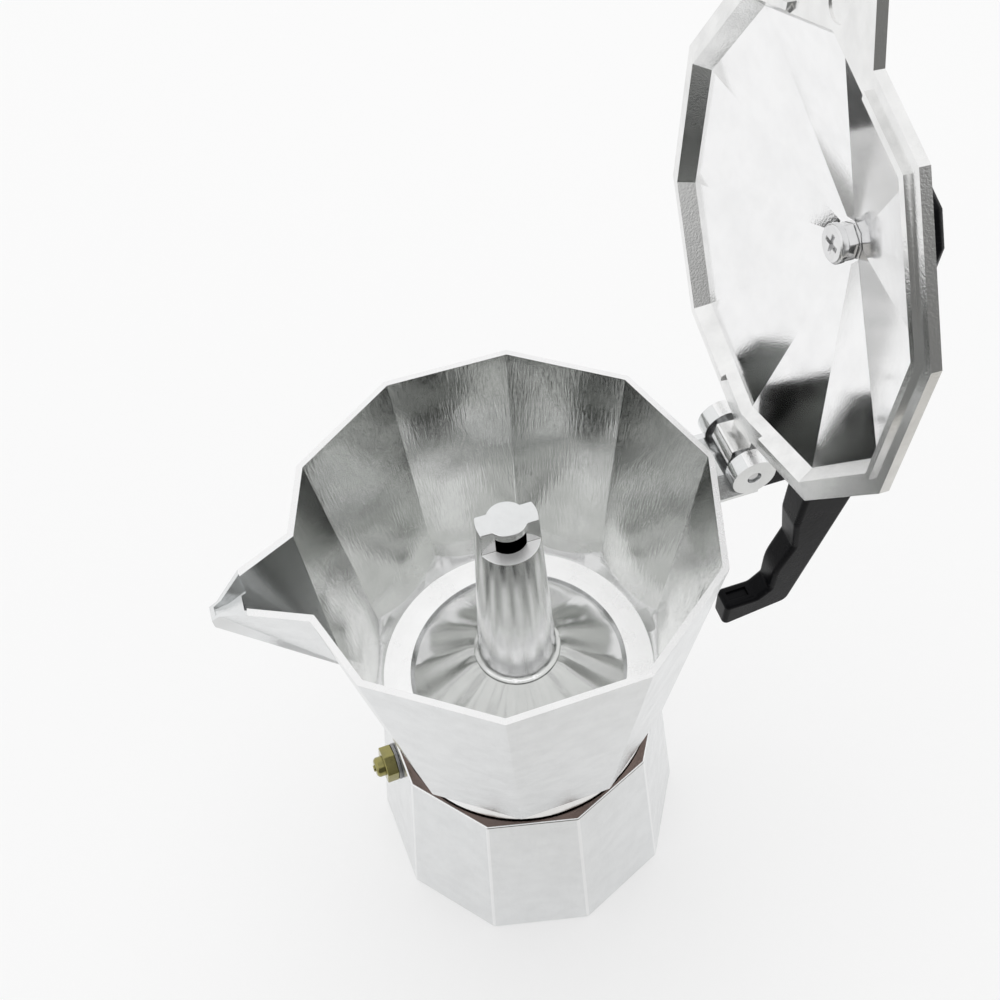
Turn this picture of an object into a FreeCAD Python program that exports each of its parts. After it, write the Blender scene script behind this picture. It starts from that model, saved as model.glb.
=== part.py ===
import FreeCAD, Part
import math
import os
from FreeCAD import Placement, Rotation, Vector

# Ten-sided stovetop coffee pot, in millimetres. The origin is the centre of the boiler's flat base,
# +Z is up, +X points to the handle and the lid hinge, and -X points to the spout.
# The lid stands open, as it does while the coffee rises.

# Driving dimensions: whole pot
SIDES = 10
RUNNING_FIT = 0.05
PRESS_FIT = 0.02
LOOSE_FIT = 0.3

# Boiler
BOILER_BASE_RADIUS = 43.5
BOILER_TAPER = 7.6
BOILER_HEIGHT = 61.0
BOILER_TURN = 22.1
BOILER_WALL = 3.0
BOILER_FLOOR = 3.5
BOILER_ROOF = 2.6
BASE_BEVEL = 0.9
NECK_HEIGHT = 12.0
NECK_SET_IN = 6.75
NECK_WALL = 2.85

# Screw joint between boiler and collector
THREAD_PITCH = 3.0
THREAD_HEIGHT = 1.1
THREAD_BASE_WIDTH = 1.5
THREAD_TIP_WIDTH = 0.8
THREAD_RADIAL_GAP = 0.35
THREAD_START = 2.2
NECK_TURNS = 2.6
COLLECTOR_TURNS = 2.0
THREAD_SINK = 0.3

# Safety valve
VALVE_BELOW_SHOULDER = 7.8
VALVE_WASHER_RADIUS = 4.7
VALVE_WASHER_THICKNESS = 0.8
VALVE_HEX_FLATS = 8.2
VALVE_HEX_THICKNESS = 3.0
VALVE_SHANK_RADIUS = 3.2
VALVE_CHAMBER_RADIUS = 2.0
VALVE_INLET_RADIUS = 1.0
VALVE_SEAT_DEPTH = 1.0
VALVE_INLET_LENGTH = 1.6
VALVE_CAP_RADIUS = 2.6
VALVE_CAP_SEAT = 2.0
VALVE_NIPPLE_LENGTH = 2.2
VALVE_NIPPLE_ROUND = 0.6
VALVE_STEM_RADIUS = 0.8
VALVE_STEM_PROUD = 0.4
VALVE_HEAD_LENGTH = 1.4
VALVE_CONE_SHARE = 0.6
VALVE_SPRING_WIRE = 0.45
VALVE_SPRING_TURNS = 5
VALVE_NUT_FLATS = 9.0
VALVE_NUT_THICKNESS = 2.4

# Coffee funnel
SHEET = 0.9
FUNNEL_FLANGE_SET_IN = 0.75
FUNNEL_GAP = 0.7
FUNNEL_DEPTH = 21.0
FUNNEL_LEDGE = 2.4
FUNNEL_CONE_DROP = 7.5
FUNNEL_TUBE_RADIUS = 4.8
FUNNEL_TUBE_CLEARANCE = 4.0
SIEVE_THICKNESS = 1.0
SIEVE_HOLE_RADIUS = 0.8
SIEVE_EDGE = 5.6
SIEVE_RINGS = 4

# Gasket and filter plate
GASKET_THICKNESS = 3.0
GASKET_GAP = 1.5
GASKET_WIDTH = 5.5
FILTER_OVERLAP = 1.6
FILTER_THICKNESS = 0.8
FILTER_HOLE_RADIUS = 0.65
FILTER_EDGE = 4.2
FILTER_RINGS = 5

# Collector
RIM_OVER_BASE = 1.5
COLLECTOR_HEIGHT = 80.0
WALL_TAPER = 0.127
RIM_WALL = 1.3
WAIST_GAP = 1.0
WAIST_TURNED_HEIGHT = 7.6
WAIST_TURNED_CUT = 0.15
FLOOR_THICKNESS = 2.0
COVE_HEIGHT = 6.0
COVE_INSET = 0.75
FLOOR_RING_SET_IN = 4.0
FLOOR_GROOVE_WIDTH = 0.7
FLOOR_GROOVE_DEPTH = 0.5
CONE_LEDGE = 1.3
FLOOR_CONE_RISE = 9.5
FLOOR_CONE_WALL = 1.8
CHAMBER_OVER_GASKET = 0.6

# Spout
SPOUT_OVERHANG = 14.3
SPOUT_TIP_HALF_WIDTH = 1.9
SPOUT_ROOT_HALF_WIDTH = 10.6
SPOUT_ROOT_SET_IN = 3.4
SPOUT_NOSE_DEPTH = 6.5
SPOUT_KEEL_DROP = 34.0
SPOUT_WALL = 1.4
SPOUT_CHANNEL_LIFT = 3.0
SPOUT_KEEL_HALF_WIDTH = 0.2
SPOUT_NOSE_HALF_WIDTH = 1.5
SPOUT_LIP_DROP = 4.3
SPOUT_DIP_DROP = 4.0
SPOUT_DIP_LENGTH = 7.1
SPOUT_LIP_LENGTH = 6.2
SPOUT_LIP_RIM = 0.9

# Column
COLUMN_FOOT_RADIUS = 8.3
COLUMN_FOOT_LENGTH = 5.0
COLUMN_FLANGE_RADIUS = 10.3
COLUMN_FLANGE_THICKNESS = 1.4
COLUMN_LOWER_RADIUS = 9.3
COLUMN_UPPER_RADIUS = 6.5
COLUMN_TOP_BELOW_RIM = 1.0
COLUMN_FOOT_WALL = 1.8
COLUMN_TOP_BORE_RADIUS = 4.0
COLUMN_DISC_RADIUS = 4.3
COLUMN_DISC_THICKNESS = 2.2
COLUMN_WINDOW_HEIGHT = 4.4
COLUMN_WING_HALF_WIDTH = 2.4

# Lid hinge
HINGE_OUTSET = 4.8
HINGE_ABOVE_RIM = 0.9
HINGE_OPEN_ANGLE = 91.9
KNUCKLE_RADIUS = 4.7
KNUCKLE_LENGTH = 3.7
HINGE_HALF_WIDTH = 8.8
HINGE_SIDE_GAP = 1.2
HINGE_PIN_RADIUS = 1.5
HINGE_PIN_BEVEL = 0.4
HINGE_PIN_SET_IN = 0.5
LUG_RADIUS = 3.8
LUG_FLAT_HALF_HEIGHT = 3.3
LUG_CORNER = 0.6
LUG_WEB_SINK = 0.5
HEEL_REACH = 5.2
HEEL_HALF_HEIGHT = 1.2
BRACKET_DROP = 10.2
KNUCKLE_WEB_DROP = 5.0
KNUCKLE_WEB_EDGE = 0.6
CRADLE_BACK = 2.0
BRACKET_OUTSET = 4.2

# Handle
TANG_HALF_WIDTH = 2.3
TANG_LENGTH = 12.0
TANG_THICKNESS = 4.0
HANDLE_ARM_THICKNESS = 7.4
HANDLE_TOP_BELOW_RIM = 3.2
HANDLE_LENGTH = 31.5
HANDLE_FOOT_LENGTH = 18.4
HANDLE_DROP = 68.5
HANDLE_HOOK_OUTSET = 0.4
HANDLE_HOOK_THICKNESS = 9.5
HANDLE_TOP_HALF_WIDTH = 4.7
HANDLE_FOOT_HALF_WIDTH = 3.0
HANDLE_GRIP_OUTSET = 14.3
HANDLE_GRIP_LEAN = 2.5
HANDLE_NOTCH_RUN = 3.0
HANDLE_NOTCH_DEPTH = 0.7
HANDLE_LOBE_ROUND = 16.0
HANDLE_LOW_LOBE = 0.22
HANDLE_NOTCH = 0.40
HANDLE_HIGH_LOBE = 0.58
HANDLE_HOOK_LEAN = 3.6
HANDLE_EDGE = 1.3
HANDLE_CORNER = 5.0
HANDLE_FOOT_CORNER = 3.0
HANDLE_SMALL_CORNER = 1.5
HANDLE_PIN_RADIUS = 1.0
HANDLE_RECESS_LENGTH = 5.5
HANDLE_RECESS_WIDTH = 2.6
HANDLE_RECESS_DEPTH = 0.8

# Lid
LID_FLANGE_SET_IN = 1.0
LID_FLANGE_THICKNESS = 1.8
LID_GAP = 0.25
LID_DOME_SET_IN = 2.0
LID_DOME_RISE = 13.5
LID_SPRING_RISE = 2.2
LID_CROWN_RADIUS = 6.4
LID_CEILING_RADIUS = 4.0
LID_WALL = 1.9
SKIRT_SET_IN = 3.6
SKIRT_WALL = 1.2
SKIRT_DRAFT = 2.0
SKIRT_DEPTH = 0.8
SKIRT_HINGE_GAP = 8.5
SKIRT_SPOUT_GAP = 11.5
TONGUE_OVERHANG = 1.1
TONGUE_TIP_HALF_WIDTH = 3.0
TONGUE_ROOT_HALF_WIDTH = 11.5
TONGUE_ROOT_SET_IN = 5.2
EJECTOR_MARK_RADIUS = 2.7
EJECTOR_MARK_DEPTH = 0.25
EJECTOR_MARK_SET_IN = 1.5

# Knob and its fixing
KNOB_SIDES = 10
KNOB_BASE_RADIUS = 7.0
KNOB_WIDE_RADIUS = 11.0
KNOB_TOP_RADIUS = 10.2
KNOB_BODY_HEIGHT = 8.7
KNOB_BEVEL_HEIGHT = 1.4
SCREW_RADIUS = 2.0
SCREW_HEAD_RADIUS = 3.5
SCREW_HEAD_THICKNESS = 1.5
SCREW_HEAD_EDGE = 0.4
SCREW_RECESS_LENGTH = 3.6
SCREW_RECESS_WIDTH = 0.8
SCREW_RECESS_DEPTH = 1.0
KNOB_NUT_FLATS = 6.0
KNOB_NUT_THICKNESS = 2.0
INSERT_RADIUS = 3.3
INSERT_LENGTH = 6.0
INSERT_COVER = 0.6
SCREW_TIP_GAP = 0.5

# Values worked out from the driving dimensions: heights
NECK_TOP = BOILER_HEIGHT + NECK_HEIGHT
VALVE_HEIGHT = BOILER_HEIGHT - VALVE_BELOW_SHOULDER
WAIST_BOTTOM = BOILER_HEIGHT + WAIST_GAP
WAIST_TOP = WAIST_BOTTOM + WAIST_TURNED_HEIGHT
RIM_HEIGHT = WAIST_BOTTOM + COLLECTOR_HEIGHT
GASKET_BOTTOM = NECK_TOP + SHEET
GASKET_TOP = GASKET_BOTTOM + GASKET_THICKNESS
FLOOR_TOP = GASKET_TOP + FLOOR_THICKNESS
CONE_TOP = FLOOR_TOP + FLOOR_CONE_RISE
COLUMN_TOP = RIM_HEIGHT - COLUMN_TOP_BELOW_RIM
COLUMN_DISC_BOTTOM = COLUMN_TOP - COLUMN_DISC_THICKNESS
COLUMN_SILL = COLUMN_DISC_BOTTOM - COLUMN_WINDOW_HEIGHT
HINGE_Z = RIM_HEIGHT + HINGE_ABOVE_RIM
BRACKET_TOP = HINGE_Z - HEEL_REACH - LOOSE_FIT
BRACKET_BOTTOM = RIM_HEIGHT - BRACKET_DROP
HANDLE_TOP = RIM_HEIGHT - HANDLE_TOP_BELOW_RIM
HANDLE_ARM_BOTTOM = HANDLE_TOP - HANDLE_ARM_THICKNESS
HANDLE_BOTTOM = HANDLE_TOP - HANDLE_DROP
TANG_MIDDLE = HANDLE_TOP - HANDLE_ARM_THICKNESS / 2
LID_BOTTOM = RIM_HEIGHT + LID_GAP
LID_TOP = LID_BOTTOM + LID_FLANGE_THICKNESS
LID_CROWN = LID_TOP + LID_DOME_RISE
LID_CEILING = LID_CROWN - LID_WALL

# Radii and reaches, from the boiler outward
FLAT_RATIO = math.cos(math.pi / SIDES)
BOILER_TOP_RADIUS = BOILER_BASE_RADIUS - BOILER_TAPER
THREAD_ROOT_RADIUS = BOILER_TOP_RADIUS - NECK_SET_IN
NECK_BORE_RADIUS = THREAD_ROOT_RADIUS - NECK_WALL
THREAD_CREST_RADIUS = THREAD_ROOT_RADIUS + THREAD_HEIGHT
COLLECTOR_BORE = THREAD_CREST_RADIUS + THREAD_RADIAL_GAP
FUNNEL_FLANGE_RADIUS = THREAD_ROOT_RADIUS - FUNNEL_FLANGE_SET_IN
FUNNEL_WALL_RADIUS = NECK_BORE_RADIUS - FUNNEL_GAP
SIEVE_RADIUS = FUNNEL_WALL_RADIUS - SHEET - LOOSE_FIT
SIEVE_RING_STEP = (SIEVE_RADIUS - SIEVE_EDGE) / SIEVE_RINGS
GASKET_OUTER_RADIUS = COLLECTOR_BORE - GASKET_GAP
GASKET_INNER_RADIUS = GASKET_OUTER_RADIUS - GASKET_WIDTH
FILTER_RADIUS = GASKET_INNER_RADIUS + FILTER_OVERLAP
FILTER_RING_STEP = (FILTER_RADIUS - FILTER_EDGE) / FILTER_RINGS
FLOOR_RING_RADIUS = COLLECTOR_BORE - FLOOR_RING_SET_IN
FLOOR_CONE_TOP_RADIUS = COLUMN_FLANGE_RADIUS + CONE_LEDGE
CHAMBER_RADIUS = GASKET_INNER_RADIUS + CHAMBER_OVER_GASKET
RIM_RADIUS = BOILER_BASE_RADIUS + RIM_OVER_BASE
SPOUT_REACH = RIM_RADIUS + SPOUT_OVERHANG
SPOUT_ROOT_X = RIM_RADIUS - SPOUT_ROOT_SET_IN
HINGE_X = RIM_RADIUS + HINGE_OUTSET
KNUCKLE_INNER = HINGE_HALF_WIDTH - KNUCKLE_LENGTH
LUG_HALF_WIDTH = KNUCKLE_INNER - HINGE_SIDE_GAP
LUG_SWEEP = math.hypot(LUG_RADIUS - LUG_CORNER, LUG_FLAT_HALF_HEIGHT - LUG_CORNER) + LUG_CORNER
BRACKET_REACH = HINGE_X + BRACKET_OUTSET
HANDLE_REACH = BRACKET_REACH + HANDLE_LENGTH
HANDLE_FOOT_REACH = BRACKET_REACH + HANDLE_FOOT_LENGTH
HANDLE_HOOK_END = BRACKET_REACH + HANDLE_HOOK_OUTSET
HANDLE_GRIP_X = BRACKET_REACH + HANDLE_GRIP_OUTSET
LID_FLANGE_RADIUS = RIM_RADIUS - LID_FLANGE_SET_IN
LID_DOME_RADIUS = RIM_RADIUS - LID_DOME_SET_IN
SKIRT_OUTER_RADIUS = RIM_RADIUS - SKIRT_SET_IN
SKIRT_INNER_RADIUS = SKIRT_OUTER_RADIUS - SKIRT_WALL
TONGUE_REACH = SPOUT_REACH + TONGUE_OVERHANG
TONGUE_ROOT_X = RIM_RADIUS - TONGUE_ROOT_SET_IN
EJECTOR_MARK_X = RIM_RADIUS - EJECTOR_MARK_SET_IN

# Lengths that only need to reach past what they cut
BEYOND = 30.0
OVERCUT = 1.0


def ring_points(sides, radius, z, turn):
    """Corners of a regular polygon, the first one at the angle turn."""
    step = 2 * math.pi / sides
    start = math.radians(turn)
    corners = [start + step * k for k in range(sides)]
    return [Vector(radius * math.cos(a), radius * math.sin(a), z) for a in corners]


def polygon(points):
    return Part.makePolygon(list(points) + [points[0]])


def frustum(sides, bottom_radius, bottom, top_radius, top, turn=0.0):
    """Pyramid frustum with flat sides; the radii go to the corners."""
    lower = polygon(ring_points(sides, bottom_radius, bottom, turn))
    upper = polygon(ring_points(sides, top_radius, top, turn))
    return Part.makeLoft([lower, upper], True, True)


def revolved(profile):
    """Solid of revolution about Z from (radius, height) points."""
    face = Part.Face(polygon([Vector(r, 0, z) for r, z in profile]))
    return face.revolve(Vector(0, 0, 0), Vector(0, 0, 1), 360)


def drum(radius, bottom, top):
    return Part.makeCylinder(radius, top - bottom, Vector(0, 0, bottom))


def tube(outer, inner, bottom, top):
    return drum(outer, bottom, top).cut(drum(inner, bottom, top))


def cross_bar(radius, x, z, half_length):
    """Cylinder along Y, centred on the pot's middle plane."""
    start = Vector(x, -half_length, z)
    return Part.makeCylinder(radius, 2 * half_length, start, Vector(0, 1, 0))


def side_plate(profile, near, far):
    """Plate with an outline of (x, z) points, from y = near to y = far."""
    face = Part.Face(polygon([Vector(x, near, z) for x, z in profile]))
    return face.extrude(Vector(0, far - near, 0))


def floor_plate(profile, bottom, top):
    """Plate with an outline of (x, y) points, from z = bottom to z = top."""
    face = Part.Face(polygon([Vector(x, y, bottom) for x, y in profile]))
    return face.extrude(Vector(0, 0, top - bottom))


def block(x0, x1, y0, y1, z0, z1):
    return Part.makeBox(x1 - x0, y1 - y0, z1 - z0, Vector(x0, y0, z0))


def polyhedron(points, faces):
    """Closed solid from corner points and faces given as lists of point names."""
    shell = Part.Shell([Part.Face(polygon([points[name] for name in face])) for face in faces])
    solid = Part.Solid(shell)
    if solid.Volume < 0:
        solid.reverse()
    return solid


def hexagon_bar(flats, bottom, top):
    corner = flats / 2 / math.cos(math.pi / 6)
    return frustum(6, corner, bottom, corner, top)


def hole_pattern(radius, step, rings, bottom, top):
    """Round holes on rings: one in the middle, then six more on each ring."""
    holes = [drum(radius, bottom, top)]
    for ring in range(1, rings + 1):
        count = 6 * ring
        for k in range(count):
            angle = 2 * math.pi * k / count
            place = Vector(ring * step * math.cos(angle), ring * step * math.sin(angle), 0)
            holes.append(drum(radius, bottom, top).translate(place))
    return Part.makeCompound(holes)


def thread_ridge(foot, crest, start, turns):
    """Helical ridge from the radius foot to the radius crest, starting at the height start."""
    helix = Part.makeHelix(THREAD_PITCH, THREAD_PITCH * turns, (foot + crest) / 2)
    half_foot = THREAD_BASE_WIDTH / 2
    half_crest = THREAD_TIP_WIDTH / 2
    outline = [(foot, -half_foot), (crest, -half_crest), (crest, half_crest), (foot, half_foot)]
    profile = polygon([Vector(r, 0, z) for r, z in outline])
    sweep = Part.BRepOffsetAPI.MakePipeShell(Part.Wire(helix.Edges))
    sweep.setFrenetMode(True)
    sweep.add(profile)
    sweep.build()
    sweep.makeSolid()
    return sweep.shape().translate(Vector(0, 0, start))


def boiler_radius(z):
    """Corner radius of the boiler's outside at the height z."""
    return BOILER_BASE_RADIUS + (BOILER_TOP_RADIUS - BOILER_BASE_RADIUS) * z / BOILER_HEIGHT


def valve_place():
    """Placement that turns local +Z into the outward normal of the boiler facet with the valve."""
    facet = math.radians(BOILER_TURN + 180 / SIDES + 4 * 360 / SIDES)
    apothem = boiler_radius(VALVE_HEIGHT) * FLAT_RATIO
    slope = (BOILER_BASE_RADIUS - BOILER_TOP_RADIUS) * FLAT_RATIO / BOILER_HEIGHT
    normal = Vector(math.cos(facet), math.sin(facet), slope)
    centre = Vector(apothem * math.cos(facet), apothem * math.sin(facet), VALVE_HEIGHT)
    return Placement(centre, Rotation(Vector(0, 0, 1), normal))


def boiler_wall_depth():
    """Thickness of the boiler's wall along the valve's axis."""
    slope = (BOILER_BASE_RADIUS - BOILER_TOP_RADIUS) * FLAT_RATIO / BOILER_HEIGHT
    return BOILER_WALL * math.cos(math.atan(slope))


def boiler():
    foot_radius = BOILER_BASE_RADIUS - BASE_BEVEL
    body = frustum(SIDES, foot_radius, 0, boiler_radius(BASE_BEVEL), BASE_BEVEL, BOILER_TURN)
    body = body.fuse(frustum(SIDES, boiler_radius(BASE_BEVEL), BASE_BEVEL,
                             BOILER_TOP_RADIUS, BOILER_HEIGHT, BOILER_TURN))
    ceiling = BOILER_HEIGHT - BOILER_ROOF
    wall = BOILER_WALL / FLAT_RATIO
    hollow = frustum(SIDES, boiler_radius(BOILER_FLOOR) - wall, BOILER_FLOOR,
                     boiler_radius(ceiling) - wall, ceiling, BOILER_TURN)
    neck = drum(THREAD_ROOT_RADIUS, BOILER_HEIGHT - BOILER_ROOF / 2, NECK_TOP)
    ridge = thread_ridge(THREAD_ROOT_RADIUS - THREAD_SINK, THREAD_CREST_RADIUS,
                         BOILER_HEIGHT + THREAD_START, NECK_TURNS)
    body = body.fuse(neck).fuse(ridge)
    body = body.cut(hollow).cut(drum(NECK_BORE_RADIUS, ceiling - BOILER_WALL, NECK_TOP + BEYOND))
    hole = drum(VALVE_SHANK_RADIUS + RUNNING_FIT, -2 * BOILER_WALL, BOILER_WALL)
    hole.Placement = valve_place()
    return body.cut(hole).removeSplitter()


def valve_levels():
    """Heights along the valve's axis, measured outward from the boiler facet."""
    levels = {"hex_bottom": VALVE_WASHER_THICKNESS}
    levels["hex_top"] = levels["hex_bottom"] + VALVE_HEX_THICKNESS
    levels["cap_seat"] = levels["hex_top"] - VALVE_CAP_SEAT
    levels["nut_top"] = -boiler_wall_depth()
    levels["nut_bottom"] = levels["nut_top"] - VALVE_NUT_THICKNESS
    levels["shank_end"] = levels["nut_bottom"] - VALVE_INLET_LENGTH
    levels["seat_bottom"] = levels["shank_end"] + VALVE_INLET_LENGTH / 2
    levels["seat_top"] = levels["seat_bottom"] + VALVE_SEAT_DEPTH
    levels["head_top"] = levels["seat_top"] + VALVE_HEAD_LENGTH
    levels["nipple_top"] = levels["hex_top"] + VALVE_NIPPLE_LENGTH
    return levels


def valve_body(at):
    body = hexagon_bar(VALVE_HEX_FLATS, at["hex_bottom"], at["hex_top"])
    body = body.fuse(drum(VALVE_SHANK_RADIUS, at["shank_end"], at["hex_bottom"]))
    bore = revolved([(0, at["shank_end"]), (VALVE_INLET_RADIUS, at["shank_end"]),
                     (VALVE_INLET_RADIUS, at["seat_bottom"]), (VALVE_CHAMBER_RADIUS, at["seat_top"]),
                     (VALVE_CHAMBER_RADIUS, at["cap_seat"]), (VALVE_CAP_RADIUS, at["cap_seat"]),
                     (VALVE_CAP_RADIUS, at["hex_top"]), (0, at["hex_top"])])
    return body.cut(bore)


def valve_cap(at):
    plug = VALVE_CAP_RADIUS - PRESS_FIT
    hole = VALVE_STEM_RADIUS + RUNNING_FIT
    return revolved([(hole, at["cap_seat"]), (plug, at["cap_seat"]),
                     (plug, at["nipple_top"] - VALVE_NIPPLE_ROUND),
                     (plug - VALVE_NIPPLE_ROUND, at["nipple_top"]), (hole, at["nipple_top"])])


def valve_pin(at):
    """Poppet: a cone on the seat, a collar for the spring and a stem out through the nipple."""
    collar = VALVE_CHAMBER_RADIUS - LOOSE_FIT
    reach = VALVE_CHAMBER_RADIUS - VALVE_INLET_RADIUS
    seat = at["seat_top"] - LOOSE_FIT * VALVE_SEAT_DEPTH / reach
    seat_gap = 2 * RUNNING_FIT
    tip = seat - VALVE_SEAT_DEPTH * VALVE_CONE_SHARE + seat_gap
    tip_radius = collar - reach * VALVE_CONE_SHARE
    return revolved([(0, tip), (tip_radius, tip), (collar, seat + seat_gap), (collar, at["head_top"]),
                     (VALVE_STEM_RADIUS, at["head_top"]),
                     (VALVE_STEM_RADIUS, at["nipple_top"] + VALVE_STEM_PROUD),
                     (0, at["nipple_top"] + VALVE_STEM_PROUD)])


def valve_spring(at):
    mean = (VALVE_STEM_RADIUS + VALVE_CHAMBER_RADIUS) / 2
    wire = VALVE_SPRING_WIRE / 2
    height = at["cap_seat"] - at["head_top"] - VALVE_SPRING_WIRE - 2 * RUNNING_FIT
    pitch = height / VALVE_SPRING_TURNS
    print("valve spring least gap between turns: %.2f mm" % (pitch - VALVE_SPRING_WIRE))
    helix = Part.makeHelix(pitch, height, mean)
    rise = Vector(0, 2 * math.pi * mean, pitch)
    section = Part.Wire(Part.makeCircle(wire, Vector(mean, 0, 0), rise))
    sweep = Part.BRepOffsetAPI.MakePipeShell(Part.Wire(helix.Edges))
    sweep.setFrenetMode(True)
    sweep.add(section)
    sweep.build()
    sweep.makeSolid()
    return sweep.shape().translate(Vector(0, 0, at["head_top"] + wire + RUNNING_FIT))


def valve_washer(at):
    return tube(VALVE_WASHER_RADIUS, VALVE_SHANK_RADIUS + RUNNING_FIT, 0, at["hex_bottom"])


def valve_lock_nut(at):
    nut = hexagon_bar(VALVE_NUT_FLATS, at["nut_bottom"], at["nut_top"])
    return nut.cut(drum(VALVE_SHANK_RADIUS + PRESS_FIT, at["nut_bottom"], at["nut_top"]))


def funnel_levels():
    ledge = NECK_TOP - FUNNEL_DEPTH
    return ledge, ledge - FUNNEL_CONE_DROP, BOILER_FLOOR + FUNNEL_TUBE_CLEARANCE


def funnel():
    """Pressed sheet basket: flange, straight wall, ledge for the sieve, cone and tube."""
    ledge, throat, tip = funnel_levels()
    wall = FUNNEL_WALL_RADIUS
    inner = wall - SHEET
    lip = inner - FUNNEL_LEDGE
    pipe = FUNNEL_TUBE_RADIUS
    outside = [(FUNNEL_FLANGE_RADIUS, NECK_TOP + SHEET), (FUNNEL_FLANGE_RADIUS, NECK_TOP),
               (wall, NECK_TOP), (wall, ledge - SHEET), (lip, ledge - SHEET), (pipe, throat - SHEET),
               (pipe, tip)]
    inside = [(pipe - SHEET, tip), (pipe - SHEET, throat), (lip, ledge), (inner, ledge),
              (inner, NECK_TOP + SHEET)]
    return revolved(outside + inside)


def funnel_sieve():
    ledge = funnel_levels()[0]
    top = ledge + SIEVE_THICKNESS
    plate = drum(SIEVE_RADIUS, ledge, top)
    return plate.cut(hole_pattern(SIEVE_HOLE_RADIUS, SIEVE_RING_STEP, SIEVE_RINGS, ledge, top))


def filter_seat():
    """Height of the step in the gasket that carries the filter plate."""
    return GASKET_TOP - FILTER_THICKNESS - 2 * RUNNING_FIT


def gasket():
    return revolved([(GASKET_INNER_RADIUS, GASKET_BOTTOM), (GASKET_OUTER_RADIUS, GASKET_BOTTOM),
                     (GASKET_OUTER_RADIUS, GASKET_TOP), (FILTER_RADIUS + LOOSE_FIT, GASKET_TOP),
                     (FILTER_RADIUS + LOOSE_FIT, filter_seat()), (GASKET_INNER_RADIUS, filter_seat())])


def filter_plate():
    top = filter_seat() + FILTER_THICKNESS
    plate = drum(FILTER_RADIUS, filter_seat(), top)
    holes = hole_pattern(FILTER_HOLE_RADIUS, FILTER_RING_STEP, FILTER_RINGS, filter_seat(), top)
    return plate.cut(holes)


def outer_radius(z):
    """Corner radius of the collector's outside at the height z."""
    return RIM_RADIUS - WALL_TAPER * (RIM_HEIGHT - z)


def inner_radius(z):
    return outer_radius(z) - RIM_WALL / FLAT_RATIO


def collector_shell():
    """Ten-sided outside, which ends in a step over the turned waist."""
    body = frustum(SIDES, outer_radius(WAIST_BOTTOM), WAIST_BOTTOM, RIM_RADIUS, RIM_HEIGHT)
    low = outer_radius(WAIST_BOTTOM) * FLAT_RATIO - WAIST_TURNED_CUT
    high = outer_radius(WAIST_TOP) * FLAT_RATIO - WAIST_TURNED_CUT
    clear = RIM_RADIUS + OVERCUT
    envelope = revolved([(0, WAIST_BOTTOM), (low, WAIST_BOTTOM), (high, WAIST_TOP),
                         (clear, WAIST_TOP), (clear, RIM_HEIGHT), (0, RIM_HEIGHT)])
    return body.common(envelope)


def spout_wedge(inset, tip_x, top, floor_lift, nose):
    """Pointed wedge of the spout: the full one, or the channel inside it set in by a wall."""
    run = SPOUT_REACH - SPOUT_ROOT_X
    flare = (SPOUT_ROOT_HALF_WIDTH - SPOUT_TIP_HALF_WIDTH) / run
    keel_slope = (SPOUT_KEEL_DROP - SPOUT_NOSE_DEPTH) / run
    root_x = inner_radius(RIM_HEIGHT - SPOUT_KEEL_DROP) - 2 * RIM_WALL

    def half_width(x):
        return SPOUT_TIP_HALF_WIDTH + flare * (SPOUT_REACH - x) - inset

    def keel(x):
        return RIM_HEIGHT - SPOUT_NOSE_DEPTH - keel_slope * (SPOUT_REACH - x) + floor_lift

    points = {}
    for side, sign in (("near", -1), ("far", 1)):
        points["tip_" + side] = Vector(-tip_x, sign * half_width(tip_x), top)
        points["nose_" + side] = Vector(-tip_x, sign * nose, keel(tip_x))
        points["root_" + side] = Vector(-root_x, sign * half_width(root_x), top)
        points["keel_" + side] = Vector(-root_x, sign * SPOUT_KEEL_HALF_WIDTH, keel(root_x))
    faces = [("tip_near", "tip_far", "root_far", "root_near"),
             ("tip_near", "nose_near", "nose_far", "tip_far"),
             ("nose_near", "keel_near", "keel_far", "nose_far"),
             ("root_near", "root_far", "keel_far", "keel_near"),
             ("tip_near", "root_near", "keel_near"), ("tip_near", "keel_near", "nose_near"),
             ("tip_far", "nose_far", "keel_far"), ("tip_far", "keel_far", "root_far")]
    return polyhedron(points, faces)


def spout_cuts():
    """Channel of the spout, its dipped rim and the shelf of the pouring lip at the tip."""
    channel_tip = SPOUT_REACH - SPOUT_LIP_LENGTH
    channel = spout_wedge(SPOUT_WALL, channel_tip, RIM_HEIGHT + OVERCUT, SPOUT_CHANNEL_LIFT,
                          SPOUT_KEEL_HALF_WIDTH)
    dip = side_plate([(-SPOUT_REACH + SPOUT_DIP_LENGTH, RIM_HEIGHT),
                      (-SPOUT_REACH, RIM_HEIGHT - SPOUT_DIP_DROP),
                      (-SPOUT_REACH - OVERCUT, RIM_HEIGHT - SPOUT_DIP_DROP),
                      (-SPOUT_REACH - OVERCUT, RIM_HEIGHT + OVERCUT),
                      (-SPOUT_REACH + SPOUT_DIP_LENGTH, RIM_HEIGHT + OVERCUT)],
                     -SPOUT_ROOT_HALF_WIDTH, SPOUT_ROOT_HALF_WIDTH)
    inside = spout_wedge(SPOUT_LIP_RIM, SPOUT_REACH - SPOUT_LIP_RIM, RIM_HEIGHT + OVERCUT, 0,
                         SPOUT_NOSE_HALF_WIDTH - SPOUT_LIP_RIM)
    lip = inside.common(block(-SPOUT_REACH, OVERCUT - channel_tip, -SPOUT_ROOT_HALF_WIDTH,
                              SPOUT_ROOT_HALF_WIDTH, RIM_HEIGHT - SPOUT_LIP_DROP, RIM_HEIGHT + OVERCUT))
    return [channel, dip, lip]


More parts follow.
